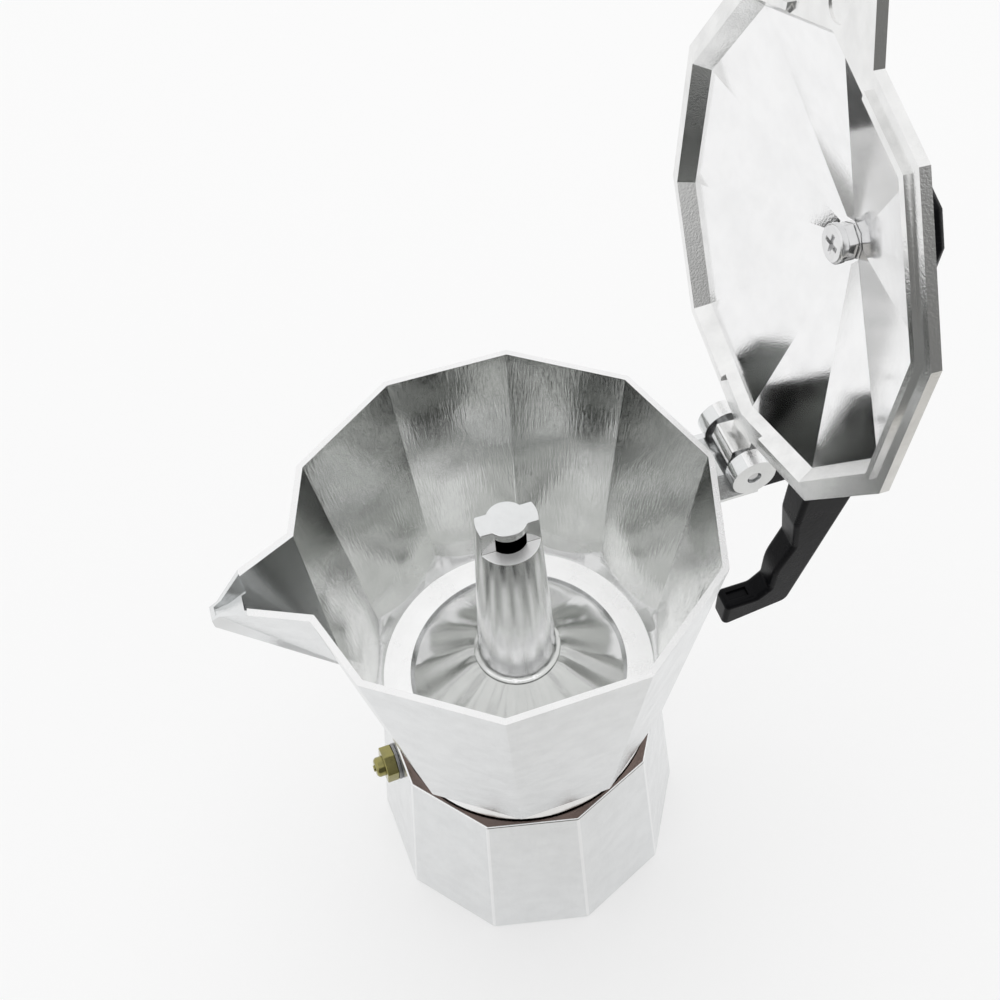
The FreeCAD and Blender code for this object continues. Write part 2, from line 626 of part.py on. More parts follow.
def knuckle_web(inside, shelf):
    """Sloping gusset that carries the knuckle at +Y from the pot's wall."""
    bottom = HINGE_Z - KNUCKLE_WEB_DROP
    section = [Vector(inside, KNUCKLE_INNER, bottom), Vector(inside, HINGE_HALF_WIDTH, bottom),
               Vector(inside, HINGE_HALF_WIDTH, bottom + KNUCKLE_WEB_EDGE),
               Vector(inside, KNUCKLE_INNER, shelf)]
    return Part.Face(polygon(section)).extrude(Vector(HINGE_X - inside, 0, 0))


def collector_bracket():
    """Cast bracket behind the rim: two knuckles on webs, a cradle for the lid's lug and the tang."""
    inside = inner_radius(BRACKET_BOTTOM) - RIM_WALL
    shelf = RIM_HEIGHT - LOOSE_FIT
    knuckle = Part.makeCylinder(KNUCKLE_RADIUS, KNUCKLE_LENGTH, Vector(HINGE_X, KNUCKLE_INNER, HINGE_Z),
                                Vector(0, 1, 0))
    arm = knuckle.fuse(knuckle_web(inside, shelf))
    cradle = block(inside, HINGE_X - CRADLE_BACK, -KNUCKLE_INNER, KNUCKLE_INNER, BRACKET_BOTTOM, shelf)
    heel_block = block(inside, BRACKET_REACH, -KNUCKLE_INNER, KNUCKLE_INNER, BRACKET_BOTTOM, BRACKET_TOP)
    half = TANG_THICKNESS / 2
    tang = block(inside, BRACKET_REACH + TANG_LENGTH, -TANG_HALF_WIDTH, TANG_HALF_WIDTH,
                 TANG_MIDDLE - half, TANG_MIDDLE + half)
    return heel_block.multiFuse([cradle, tang, arm, arm.mirror(Vector(0, 0, 0), Vector(0, 1, 0))])


def collector_hollow():
    """Inside of the upper chamber, down to a turned cove, the round floor ring, the groove and the cone."""
    cove_top = FLOOR_TOP + COVE_HEIGHT
    cove_foot = inner_radius(FLOOR_TOP) * FLAT_RATIO - COVE_INSET
    cove_head = inner_radius(cove_top) + LOOSE_FIT
    clear = RIM_RADIUS + OVERCUT
    walls = frustum(SIDES, inner_radius(FLOOR_TOP), FLOOR_TOP, inner_radius(RIM_HEIGHT), RIM_HEIGHT)
    turned = revolved([(0, FLOOR_TOP), (cove_foot, FLOOR_TOP), (cove_head, cove_top), (clear, cove_top),
                       (clear, RIM_HEIGHT), (0, RIM_HEIGHT)])
    groove_inner = FLOOR_RING_RADIUS - FLOOR_GROOVE_WIDTH
    groove_floor = FLOOR_TOP - FLOOR_GROOVE_DEPTH
    groove = tube(FLOOR_RING_RADIUS, FLOOR_CONE_TOP_RADIUS, groove_floor, FLOOR_TOP)
    cone = revolved([(0, groove_floor - OVERCUT), (groove_inner, groove_floor - OVERCUT),
                     (groove_inner, groove_floor), (FLOOR_CONE_TOP_RADIUS, CONE_TOP), (0, CONE_TOP)])
    return walls.common(turned).fuse(groove).cut(cone)


def collector_underside():
    """Screw bore, cone-shaped chamber under the floor and the bore for the column's foot."""
    bore = drum(COLLECTOR_BORE, WAIST_BOTTOM - OVERCUT, GASKET_TOP)
    foot_bore = COLUMN_FOOT_RADIUS
    slope = FLOOR_CONE_RISE / (FLOOR_RING_RADIUS - FLOOR_GROOVE_WIDTH - FLOOR_CONE_TOP_RADIUS)
    chamber_top = GASKET_TOP + slope * (CHAMBER_RADIUS - foot_bore)
    chamber_top = min(chamber_top, CONE_TOP - FLOOR_CONE_WALL)
    below = GASKET_TOP - OVERCUT
    above = CONE_TOP + OVERCUT
    chamber = revolved([(0, below), (CHAMBER_RADIUS, below), (CHAMBER_RADIUS, GASKET_TOP),
                        (foot_bore, chamber_top), (foot_bore, above), (0, above)])
    return bore.fuse(chamber)


def collector():
    spout = spout_wedge(0, SPOUT_REACH, RIM_HEIGHT, 0, SPOUT_NOSE_HALF_WIDTH)
    body = collector_shell().fuse(spout).fuse(collector_bracket())
    body = body.cut(cross_bar(LUG_SWEEP + LOOSE_FIT, HINGE_X, HINGE_Z, KNUCKLE_INNER))
    body = body.cut(collector_hollow()).cut(collector_underside())
    for cutter in spout_cuts():
        body = body.cut(cutter)
    body = body.cut(cross_bar(HINGE_PIN_RADIUS + PRESS_FIT, HINGE_X, HINGE_Z, HINGE_HALF_WIDTH + OVERCUT))
    body = body.cut(cross_bar(HANDLE_PIN_RADIUS + PRESS_FIT, handle_pin_x(), TANG_MIDDLE, HINGE_HALF_WIDTH))
    ridge = thread_ridge(COLLECTOR_BORE + THREAD_SINK, COLLECTOR_BORE - THREAD_HEIGHT,
                         BOILER_HEIGHT + THREAD_START + THREAD_PITCH / 2, COLLECTOR_TURNS)
    return body.fuse(ridge)


def column():
    """Tapered chimney: foot, flange, taper, and a top disc carried by two wings over the windows."""
    foot = CONE_TOP - COLUMN_FOOT_LENGTH
    flange_top = CONE_TOP + COLUMN_FLANGE_THICKNESS
    spigot = COLUMN_FOOT_RADIUS - PRESS_FIT
    edge = COLUMN_FLANGE_RADIUS - COLUMN_LOWER_RADIUS
    body = revolved([(0, foot), (spigot, foot), (spigot, CONE_TOP), (COLUMN_FLANGE_RADIUS, CONE_TOP),
                     (COLUMN_FLANGE_RADIUS, flange_top - edge / 2), (COLUMN_LOWER_RADIUS, flange_top),
                     (COLUMN_UPPER_RADIUS, COLUMN_TOP), (0, COLUMN_TOP)])
    bore = revolved([(0, foot), (spigot - COLUMN_FOOT_WALL, foot), (COLUMN_TOP_BORE_RADIUS, COLUMN_SILL),
                     (COLUMN_TOP_BORE_RADIUS, COLUMN_DISC_BOTTOM), (0, COLUMN_DISC_BOTTOM)])
    body = body.cut(bore)
    disc = drum(COLUMN_DISC_RADIUS, COLUMN_DISC_BOTTOM, COLUMN_TOP + OVERCUT)
    far = 2 * COLUMN_UPPER_RADIUS
    for near_y, far_y in ((-far, -COLUMN_WING_HALF_WIDTH), (COLUMN_WING_HALF_WIDTH, far)):
        window = block(-far, far, near_y, far_y, COLUMN_SILL, COLUMN_TOP + OVERCUT)
        body = body.cut(window.cut(disc))
    return body


def hinge_pin():
    """Solid pin with bevelled ends, set in a little from the knuckles' faces."""
    end = HINGE_HALF_WIDTH - HINGE_PIN_SET_IN
    straight = end - HINGE_PIN_BEVEL
    tip = HINGE_PIN_RADIUS - HINGE_PIN_BEVEL
    pin = revolved([(0, -end), (tip, -end), (HINGE_PIN_RADIUS, -straight), (HINGE_PIN_RADIUS, straight),
                    (tip, end), (0, end)])
    pin.rotate(Vector(0, 0, 0), Vector(1, 0, 0), 90)
    return pin.translate(Vector(HINGE_X, 0, HINGE_Z))


def handle_pin_x():
    return BRACKET_REACH + TANG_LENGTH / 2


def rounded_outline(corners):
    """Closed wire in the pot's middle plane from (x, z, corner radius) points."""
    ends = []
    for k, (x, z, radius) in enumerate(corners):
        here = Vector(x, 0, z)
        before = corners[k - 1]
        after = corners[(k + 1) % len(corners)]
        back = (Vector(before[0], 0, before[1]) - here).normalize()
        ahead = (Vector(after[0], 0, after[1]) - here).normalize()
        half = back.getAngle(ahead) / 2
        setback = radius / math.tan(half)
        middle = here + (back + ahead).normalize() * (radius / math.sin(half) - radius)
        ends.append((here + back * setback, middle, here + ahead * setback, radius))
    edges = []
    for k, (first, middle, last, radius) in enumerate(ends):
        if radius:
            edges.append(Part.Arc(first, middle, last).toShape())
        edges.append(Part.LineSegment(last, ends[(k + 1) % len(ends)][0]).toShape())
    return Part.Wire(edges)


def centred_plate(outline, half_width):
    """Plate of a given outline, as wide on both sides of the middle plane."""
    plate = Part.Face(outline).extrude(Vector(0, 2 * half_width, 0))
    return plate.translate(Vector(0, -half_width, 0))


def handle_outline():
    """Side outline: arm, straight back, leaning hook, and two finger lobes on the inner side."""
    hook_top = HANDLE_BOTTOM + HANDLE_HOOK_THICKNESS
    grip = HANDLE_ARM_BOTTOM - hook_top
    low_x = HANDLE_GRIP_X - HANDLE_GRIP_LEAN
    return rounded_outline([
        (BRACKET_REACH, HANDLE_TOP, 0),
        (HANDLE_REACH, HANDLE_TOP, HANDLE_CORNER),
        (HANDLE_FOOT_REACH, HANDLE_BOTTOM + HANDLE_HOOK_LEAN, HANDLE_FOOT_CORNER),
        (HANDLE_HOOK_END, HANDLE_BOTTOM, HANDLE_SMALL_CORNER),
        (HANDLE_HOOK_END, hook_top, HANDLE_SMALL_CORNER),
        (low_x - HANDLE_NOTCH_RUN, hook_top, HANDLE_SMALL_CORNER),
        (low_x, hook_top + HANDLE_NOTCH_RUN, HANDLE_SMALL_CORNER),
        (low_x, hook_top + HANDLE_LOW_LOBE * grip, HANDLE_LOBE_ROUND),
        (HANDLE_GRIP_X + HANDLE_NOTCH_DEPTH, hook_top + HANDLE_NOTCH * grip, HANDLE_SMALL_CORNER),
        (HANDLE_GRIP_X - HANDLE_NOTCH_DEPTH, hook_top + HANDLE_HIGH_LOBE * grip, HANDLE_LOBE_ROUND / 2),
        (HANDLE_GRIP_X, HANDLE_ARM_BOTTOM, HANDLE_CORNER),
        (BRACKET_REACH, HANDLE_ARM_BOTTOM, 0)])


def handle_half_width(z):
    share = (z - HANDLE_BOTTOM) / HANDLE_DROP
    return HANDLE_FOOT_HALF_WIDTH + share * (HANDLE_TOP_HALF_WIDTH - HANDLE_FOOT_HALF_WIDTH)


def is_side_edge(edge):
    """True for the long edges of the handle's two sides, but not those of its end face."""
    on_end = all(abs(v.X - BRACKET_REACH) < 0.01 for v in edge.Vertexes)
    on_side = all(abs(abs(v.Y) - handle_half_width(v.Z)) < 0.01 for v in edge.Vertexes)
    return on_side and not on_end


def handle():
    blank = centred_plate(handle_outline(), HANDLE_TOP_HALF_WIDTH + OVERCUT)
    top = HANDLE_TOP + OVERCUT
    low = HANDLE_BOTTOM - OVERCUT
    wedge = [Vector(0, -handle_half_width(top), top), Vector(0, handle_half_width(top), top),
             Vector(0, handle_half_width(low), low), Vector(0, -handle_half_width(low), low)]
    body = blank.common(Part.Face(polygon(wedge)).extrude(Vector(HANDLE_REACH + BEYOND, 0, 0)))
    body = body.makeFillet(HANDLE_EDGE, [edge for edge in body.Edges if is_side_edge(edge)])
    wide = TANG_HALF_WIDTH + RUNNING_FIT
    tall = TANG_THICKNESS / 2 + RUNNING_FIT
    body = body.cut(block(BRACKET_REACH - OVERCUT, BRACKET_REACH + TANG_LENGTH + LOOSE_FIT,
                          -wide, wide, TANG_MIDDLE - tall, TANG_MIDDLE + tall))
    recess_start = HANDLE_HOOK_END + HANDLE_SMALL_CORNER
    recess_floor = HANDLE_BOTTOM + HANDLE_HOOK_THICKNESS - HANDLE_RECESS_DEPTH
    body = body.cut(block(recess_start, recess_start + HANDLE_RECESS_LENGTH, -HANDLE_RECESS_WIDTH / 2,
                          HANDLE_RECESS_WIDTH / 2, recess_floor, recess_floor + 2 * HANDLE_RECESS_DEPTH))
    return body.cut(cross_bar(HANDLE_PIN_RADIUS + PRESS_FIT, handle_pin_x(), TANG_MIDDLE, BEYOND))


def handle_pin():
    half = handle_half_width(TANG_MIDDLE) - RUNNING_FIT
    return cross_bar(HANDLE_PIN_RADIUS, handle_pin_x(), TANG_MIDDLE, half)


def lid_skirt():
    """Locating skirt inside the rim, left out at the hinge and across the spout."""
    low = LID_BOTTOM - SKIRT_DEPTH
    skirt = frustum(SIDES, SKIRT_OUTER_RADIUS, low, SKIRT_OUTER_RADIUS, LID_TOP)
    reach = LID_FLANGE_RADIUS
    skirt = skirt.cut(block(0, reach, -SKIRT_HINGE_GAP, SKIRT_HINGE_GAP, low, LID_BOTTOM))
    return skirt.cut(block(-reach, 0, -SKIRT_SPOUT_GAP, SKIRT_SPOUT_GAP, low, LID_BOTTOM))


def lid_tongue():
    """Flat tongue that covers the spout."""
    outline = [(-TONGUE_ROOT_X, -TONGUE_ROOT_HALF_WIDTH), (-TONGUE_REACH, -TONGUE_TIP_HALF_WIDTH),
               (-TONGUE_REACH, TONGUE_TIP_HALF_WIDTH), (-TONGUE_ROOT_X, TONGUE_ROOT_HALF_WIDTH)]
    return floor_plate(outline, LID_BOTTOM, LID_TOP)


def lid_lug():
    """Hinge lug with a flat towards the lid, the web that joins them and the heel that stops the lid."""
    barrel = cross_bar(LUG_RADIUS, HINGE_X, HINGE_Z, LUG_HALF_WIDTH)
    low = HINGE_Z - LUG_FLAT_HALF_HEIGHT
    high = HINGE_Z + LUG_FLAT_HALF_HEIGHT
    face = HINGE_X - LUG_RADIUS
    flat = rounded_outline([(face, low, LUG_CORNER), (face, high, LUG_CORNER), (HINGE_X, high, 0),
                            (HINGE_X, low, 0)])
    heel = side_plate([(HINGE_X, HINGE_Z - HEEL_HALF_HEIGHT),
                       (HINGE_X + LUG_RADIUS, HINGE_Z - HEEL_HALF_HEIGHT),
                       (HINGE_X + HEEL_REACH, HINGE_Z), (HINGE_X + HEEL_REACH, HINGE_Z + HEEL_HALF_HEIGHT),
                       (HINGE_X, HINGE_Z + HEEL_HALF_HEIGHT)], -LUG_HALF_WIDTH, LUG_HALF_WIDTH)
    web = block(SKIRT_INNER_RADIUS - SKIRT_DRAFT, HINGE_X, -LUG_HALF_WIDTH, LUG_HALF_WIDTH,
                LID_TOP - LUG_WEB_SINK, high)
    return barrel.multiFuse([centred_plate(flat, LUG_HALF_WIDTH), heel, web])


def lid_hollow():
    """Inside of the dome and its skirt."""
    low = LID_BOTTOM - SKIRT_DEPTH
    spring = LID_BOTTOM + LID_SPRING_RISE
    spring_radius = SKIRT_INNER_RADIUS - SKIRT_DRAFT
    hollow = frustum(SIDES, SKIRT_INNER_RADIUS, low, spring_radius, spring)
    return hollow.fuse(frustum(SIDES, spring_radius, spring, LID_CEILING_RADIUS, LID_CEILING))


def lid():
    body = frustum(SIDES, LID_FLANGE_RADIUS, LID_BOTTOM, LID_FLANGE_RADIUS, LID_TOP)
    body = body.fuse(frustum(SIDES, LID_DOME_RADIUS, LID_TOP, LID_CROWN_RADIUS, LID_CROWN))
    body = body.fuse(lid_skirt()).fuse(lid_lug()).cut(lid_hollow())
    body = body.fuse(lid_tongue())
    mark = drum(EJECTOR_MARK_RADIUS, LID_BOTTOM - OVERCUT, LID_BOTTOM + EJECTOR_MARK_DEPTH)
    body = body.cut(mark.translate(Vector(-EJECTOR_MARK_X, 0, 0)))
    body = body.cut(drum(SCREW_RADIUS + LOOSE_FIT, LID_BOTTOM, LID_CROWN + OVERCUT))
    bore_half = LUG_HALF_WIDTH + OVERCUT
    return body.cut(cross_bar(HINGE_PIN_RADIUS + RUNNING_FIT, HINGE_X, HINGE_Z, bore_half))


def knob():
    waist = LID_CROWN + KNOB_BODY_HEIGHT
    body = frustum(KNOB_SIDES, KNOB_BASE_RADIUS, LID_CROWN, KNOB_WIDE_RADIUS, waist)
    top = waist + KNOB_BEVEL_HEIGHT
    body = body.fuse(frustum(KNOB_SIDES, KNOB_WIDE_RADIUS, waist, KNOB_TOP_RADIUS, top))
    seat = LID_CROWN + INSERT_COVER
    body = body.cut(drum(INSERT_RADIUS + PRESS_FIT, seat, seat + INSERT_LENGTH))
    return body.cut(drum(SCREW_RADIUS + LOOSE_FIT, LID_CROWN, seat))


def knob_insert():
    seat = LID_CROWN + INSERT_COVER
    return tube(INSERT_RADIUS, SCREW_RADIUS + PRESS_FIT, seat, seat + INSERT_LENGTH)


def knob_screw():
    """Pan-head screw from below, with a cross recess in its head."""
    head_top = LID_CEILING - KNOB_NUT_THICKNESS
    face = head_top - SCREW_HEAD_THICKNESS
    tip = LID_CROWN + INSERT_COVER + INSERT_LENGTH - SCREW_TIP_GAP
    body = revolved([(0, face), (SCREW_HEAD_RADIUS - SCREW_HEAD_EDGE, face),
                     (SCREW_HEAD_RADIUS, face + SCREW_HEAD_EDGE), (SCREW_HEAD_RADIUS, head_top),
                     (SCREW_RADIUS, head_top), (SCREW_RADIUS, tip), (0, tip)])
    long_side = SCREW_RECESS_LENGTH / 2
    short_side = SCREW_RECESS_WIDTH / 2
    deep = face + SCREW_RECESS_DEPTH
    low = face - OVERCUT
    body = body.cut(block(-long_side, long_side, -short_side, short_side, low, deep))
    return body.cut(block(-short_side, short_side, -long_side, long_side, low, deep))


def knob_nut():
    low = LID_CEILING - KNOB_NUT_THICKNESS
    nut = hexagon_bar(KNOB_NUT_FLATS, low, LID_CEILING)
    return nut.cut(drum(SCREW_RADIUS + PRESS_FIT, low, LID_CEILING))


def opened(shape):
    """Swing a piece of the closed lid up about the hinge pin."""
    shape.rotate(Vector(HINGE_X, 0, HINGE_Z), Vector(0, 1, 0), HINGE_OPEN_ANGLE)
    return shape


def write(name, shape):
    shape.exportStep("parts/%s.step" % name)
    print("%-16s %8.0f mm3  valid %s  solids %d" % (name, shape.Volume, shape.isValid(), len(shape.Solids)))


os.makedirs("parts", exist_ok=True)
write("boiler", boiler())
levels = valve_levels()
for maker in (valve_body, valve_cap, valve_pin, valve_spring, valve_washer, valve_lock_nut):
    piece = maker(levels)
    piece.Placement = valve_place().multiply(piece.Placement)
    write(maker.__name__, piece)
for maker in (funnel, funnel_sieve, gasket, filter_plate, collector, column, hinge_pin, handle, handle_pin):
    write(maker.__name__, maker())
for maker in (lid, knob, knob_insert, knob_screw, knob_nut):
    write(maker.__name__, opened(maker()))
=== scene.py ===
import math

import bmesh
import bpy
from mathutils import Matrix, Vector


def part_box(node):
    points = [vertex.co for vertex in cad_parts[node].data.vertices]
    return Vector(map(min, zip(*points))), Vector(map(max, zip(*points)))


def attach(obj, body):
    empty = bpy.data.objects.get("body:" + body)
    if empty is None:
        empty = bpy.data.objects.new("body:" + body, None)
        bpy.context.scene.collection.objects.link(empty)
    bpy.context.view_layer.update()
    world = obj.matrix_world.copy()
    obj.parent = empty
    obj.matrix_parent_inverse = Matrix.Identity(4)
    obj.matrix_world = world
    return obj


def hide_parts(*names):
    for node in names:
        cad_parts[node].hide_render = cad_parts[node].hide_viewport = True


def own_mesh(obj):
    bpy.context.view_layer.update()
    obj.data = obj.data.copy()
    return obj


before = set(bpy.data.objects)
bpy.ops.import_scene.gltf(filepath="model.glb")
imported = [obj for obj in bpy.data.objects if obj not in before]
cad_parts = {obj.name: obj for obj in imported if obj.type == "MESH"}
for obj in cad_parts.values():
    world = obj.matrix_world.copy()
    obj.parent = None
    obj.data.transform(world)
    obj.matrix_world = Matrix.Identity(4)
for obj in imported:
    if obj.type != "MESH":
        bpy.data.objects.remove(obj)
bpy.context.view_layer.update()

# Boiler: the water chamber at the bottom, with ten flat sides and a threaded neck.
# It is one aluminium casting, lightly brushed to a pale satin, and its long edges are worn soft, in a
# brighter colour that is partly wear and partly a painted highlight.

MERGE_DISTANCE = 1e-6
FLAT_ANGLE = math.radians(0.6)
SMOOTH_ANGLE = math.radians(32)
EDGE_ANGLE = math.radians(14)
LEVEL_SLACK = 0.0002
LEVEL_NORMAL = 0.95
BOILER_EDGE = 0.00045
BOILER_EDGE_LENGTH = 0.004
BOILER_NECK_RADIUS = 0.0325
BOILER_SHOULDER = 0.0610
DIRT_GREY = (0.10, 0.105, 0.11, 1.0)
ACROSS_AXIS = (1.0, 1.0, 0.0)
BRUSHED_ALONG_Z = (1900.0, 1900.0, 45.0)
NOISE_MIDDLE = 0.5
PIT_RARITY = 0.86
PIT_DEPTH = 0.3
STREAK_SHADE = 0.5
STREAK_HEIGHT = 0.3
TURNED_SHADE = 0.4
CLOUD_GLOSS = 0.75
STREAK_GLOSS = 0.25


def shape_from(mesh):
    """Working copy of a mesh."""
    shape = bmesh.new()
    shape.from_mesh(mesh)
    return shape


def shape_of(node):
    """Working copy of a CAD node's mesh: doubles merged and flat faces joined."""
    shape = shape_from(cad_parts[node].data)
    bmesh.ops.remove_doubles(shape, verts=shape.verts, dist=MERGE_DISTANCE)
    bmesh.ops.dissolve_limit(shape, angle_limit=FLAT_ANGLE, verts=shape.verts, edges=shape.edges)
    return shape


def creases(shape, least, chosen=None):
    """Edges sharper than an angle, or those of them that a test on their middle point picks out."""
    found = []
    for edge in shape.edges:
        if len(edge.link_faces) == 2 and edge.calc_face_angle() > least:
            middle = (edge.verts[0].co + edge.verts[1].co) / 2
            if chosen is None or chosen(edge, middle):
                found.append(edge)
    return found


def soften(shape, edges, width, segments=2, finish=-1):
    """Rounds edges off, and gives the new faces a finish of their own if one is named."""
    bmesh.ops.bevel(shape, geom=edges, offset=width, offset_type="OFFSET", segments=segments,
                    profile=0.5, affect="EDGES", clamp_overlap=True, material=finish)


def placed(name, data):
    """New object in the scene for a mesh, a lamp or a camera."""
    thing = bpy.data.objects.new(name, data)
    bpy.context.scene.collection.objects.link(thing)
    return thing


def finished(shape, name, materials, body, node):
    """Turns a shape into a smooth-shaded piece that rides on a body in place of its CAD node."""
    mesh = bpy.data.meshes.new(name)
    shape.to_mesh(mesh)
    shape.free()
    for material in materials:
        mesh.materials.append(material)
    mesh.polygons.foreach_set("use_smooth", [True] * len(mesh.polygons))
    mesh.set_sharp_from_angle(angle=SMOOTH_ANGLE)
    piece = placed(name, mesh)
    weighted = piece.modifiers.new("even_shading", "WEIGHTED_NORMAL")
    weighted.keep_sharp = True
    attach(piece, body)
    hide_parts(node)
    return piece


def blank_finish(name):
    """New material; gives it with its node tree and its shader."""
    material = bpy.data.materials.new(name)
    material.use_nodes = True
    return material, material.node_tree, material.node_tree.nodes["Principled BSDF"]


def wire(tree, kind, inputs=None, **settings):
    """Adds a node, sets its properties, and fills its inputs with values or other nodes' outputs."""
    node = tree.nodes.new(kind)
    for key, value in settings.items():
        setattr(node, key, value)
    for key, value in (inputs or {}).items():
        if isinstance(value, bpy.types.NodeSocket):
            tree.links.new(value, node.inputs[key])
        else:
            node.inputs[key].default_value = value
    return node


def place_on_piece(tree):
    """Position in the piece's own coordinates."""
    return wire(tree, "ShaderNodeTexCoord").outputs["Object"]


def noise(tree, place, scale, detail, roughness=0.5):
    """Soft noise over a position, from 0 to 1."""
    node = wire(tree, "ShaderNodeTexNoise", {"Vector": place, "Scale": scale, "Detail": detail,
                                             "Roughness": roughness})
    return node.outputs["Fac"]


def ramp(tree, value, low, high, to_low=0.0, to_high=1.0):
    """Maps a value from one range to another and holds it at the ends."""
    node = wire(tree, "ShaderNodeMapRange", {"Value": value, "From Min": low, "From Max": high,
                                             "To Min": to_low, "To Max": to_high})
    return node.outputs["Result"]


def blend(tree, first, second, share):
    """Mixes two colours."""
    node = wire(tree, "ShaderNodeMix", data_type="RGBA", blend_type="MIX")
    for socket, value in ((node.inputs[0], share), (node.inputs[6], first), (node.inputs[7], second)):
        if isinstance(value, bpy.types.NodeSocket):
            tree.links.new(value, socket)
        else:
            socket.default_value = value
    return node.outputs[2]


def maths(tree, operation, first, second=0.0):
    """Works out one sum on values or other nodes' outputs."""
    node = wire(tree, "ShaderNodeMath", {0: first, 1: second}, operation=operation)
    return node.outputs[0]


def metal_surface_group():
    """Bare metal: broad waves, fine grain, streaks along Z, turning marks round Z and casting pits."""
    group = bpy.data.node_groups.new("metal_surface", "ShaderNodeTree")
    sockets = (("Colour", "NodeSocketColor", (0.8, 0.8, 0.8, 1.0)), ("Shade", "NodeSocketFloat", 0.1),
               ("Smooth", "NodeSocketFloat", 0.2), ("Rough", "NodeSocketFloat", 0.35),
               ("Waves", "NodeSocketFloat", 0.3), ("Grain", "NodeSocketFloat", 0.1),
               ("Streaks", "NodeSocketFloat", 0.1), ("Pits", "NodeSocketFloat", 0.3),
               ("Turned", "NodeSocketFloat", 0.0))
    for name, kind, value in sockets:
        socket = group.interface.new_socket(name, in_out="INPUT", socket_type=kind)
        socket.default_value = value
    for name, kind in (("Colour", "NodeSocketColor"), ("Roughness", "NodeSocketFloat"),
                       ("Height", "NodeSocketFloat")):
        group.interface.new_socket(name, in_out="OUTPUT", socket_type=kind)
    given = group.nodes.new("NodeGroupInput").outputs
    place = place_on_piece(group)
    wave = noise(group, place, scale=55.0, detail=0.5, roughness=0.4)
    cloud = noise(group, place, scale=170.0, detail=5.0, roughness=0.6)
    grain = noise(group, place, scale=2600.0, detail=2.0)
    along = wire(group, "ShaderNodeMapping", {"Vector": place, "Scale": BRUSHED_ALONG_Z})
    streak = noise(group, along.outputs[0], scale=1.0, detail=3.0, roughness=0.6)
    flat = wire(group, "ShaderNodeVectorMath", {0: place, 1: ACROSS_AXIS}, operation="MULTIPLY")
    reach = wire(group, "ShaderNodeVectorMath", {0: flat.outputs[0]}, operation="LENGTH")
    up = wire(group, "ShaderNodeSeparateXYZ", {0: place}).outputs["Z"]
    round_axis = maths(group, "ADD", reach.outputs["Value"], up)
    groove = wire(group, "ShaderNodeTexNoise", {"W": round_axis, "Scale": 3200.0, "Detail": 2.0},
                  noise_dimensions="1D").outputs["Fac"]
    turned = maths(group, "MULTIPLY", maths(group, "SUBTRACT", groove, NOISE_MIDDLE), given["Turned"])
    cells = wire(group, "ShaderNodeTexVoronoi", {"Vector": place, "Scale": 240.0, "Randomness": 1.0})
    rare = maths(group, "GREATER_THAN", cells.outputs["Color"], PIT_RARITY)
    dot = ramp(group, cells.outputs["Distance"], low=0.03, high=0.07, to_low=1.0, to_high=0.0)
    pit = maths(group, "MULTIPLY", maths(group, "MULTIPLY", dot, rare), given["Pits"])
    streaky = maths(group, "MULTIPLY", maths(group, "SUBTRACT", streak, NOISE_MIDDLE), given["Streaks"])
    shade = maths(group, "MULTIPLY", ramp(group, cloud, low=0.35, high=0.68), given["Shade"])
    streaked = maths(group, "MULTIPLY", streaky, STREAK_SHADE)
    shade = maths(group, "ADD", shade, maths(group, "ADD", streaked, pit))
    shade = maths(group, "ADD", shade, maths(group, "MULTIPLY", turned, TURNED_SHADE))
    colour = blend(group, given["Colour"], DIRT_GREY, shade)
    spread = maths(group, "SUBTRACT", given["Rough"], given["Smooth"])
    clouded = maths(group, "MULTIPLY", ramp(group, cloud, low=0.3, high=0.7), CLOUD_GLOSS)
    dull = maths(group, "ADD", clouded, maths(group, "MULTIPLY", streak, STREAK_GLOSS))
    rough = maths(group, "ADD", given["Smooth"], maths(group, "MULTIPLY", spread, dull))
    height = maths(group, "ADD", maths(group, "MULTIPLY", wave, given["Waves"]),
                   maths(group, "MULTIPLY", grain, given["Grain"]))
    height = maths(group, "ADD", height, maths(group, "MULTIPLY", streaky, STREAK_HEIGHT))
    height = maths(group, "ADD", height, turned)
    height = maths(group, "SUBTRACT", height, maths(group, "MULTIPLY", pit, PIT_DEPTH))
    out = group.nodes.new("NodeGroupOutput")
    for name, value in (("Colour", colour), ("Roughness", rough), ("Height", height)):
        group.links.new(value, out.inputs[name])
    return group


METAL_SURFACE = metal_surface_group()


def metal(name, colour, smooth, rough, bump, **surface):
    """Bare metal finish with its surface taken from the shared group."""
    material, tree, shader = blank_finish(name)
    group = wire(tree, "ShaderNodeGroup", node_tree=METAL_SURFACE)
    group.inputs["Colour"].default_value = (*colour, 1.0)
    group.inputs["Smooth"].default_value = smooth
    group.inputs["Rough"].default_value = rough
    for key, value in surface.items():
        group.inputs[key].default_value = value
    raised = wire(tree, "ShaderNodeBump", {"Height": group.outputs["Height"], "Distance": bump,
                                           "Strength": 1.0})
    shader.inputs["Metallic"].default_value = 1.0
    tree.links.new(group.outputs["Colour"], shader.inputs["Base Color"])
    tree.links.new(group.outputs["Roughness"], shader.inputs["Roughness"])
    tree.links.new(raised.outputs["Normal"], shader.inputs["Normal"])
    return material


def is_boiler_edge(edge, at):
    """Long edges on the boiler's outside, up to its shoulder."""
    outside = math.hypot(at.x, at.y) > BOILER_NECK_RADIUS
    return outside and at.z < BOILER_SHOULDER + LEVEL_SLACK and edge.calc_length() > BOILER_EDGE_LENGTH


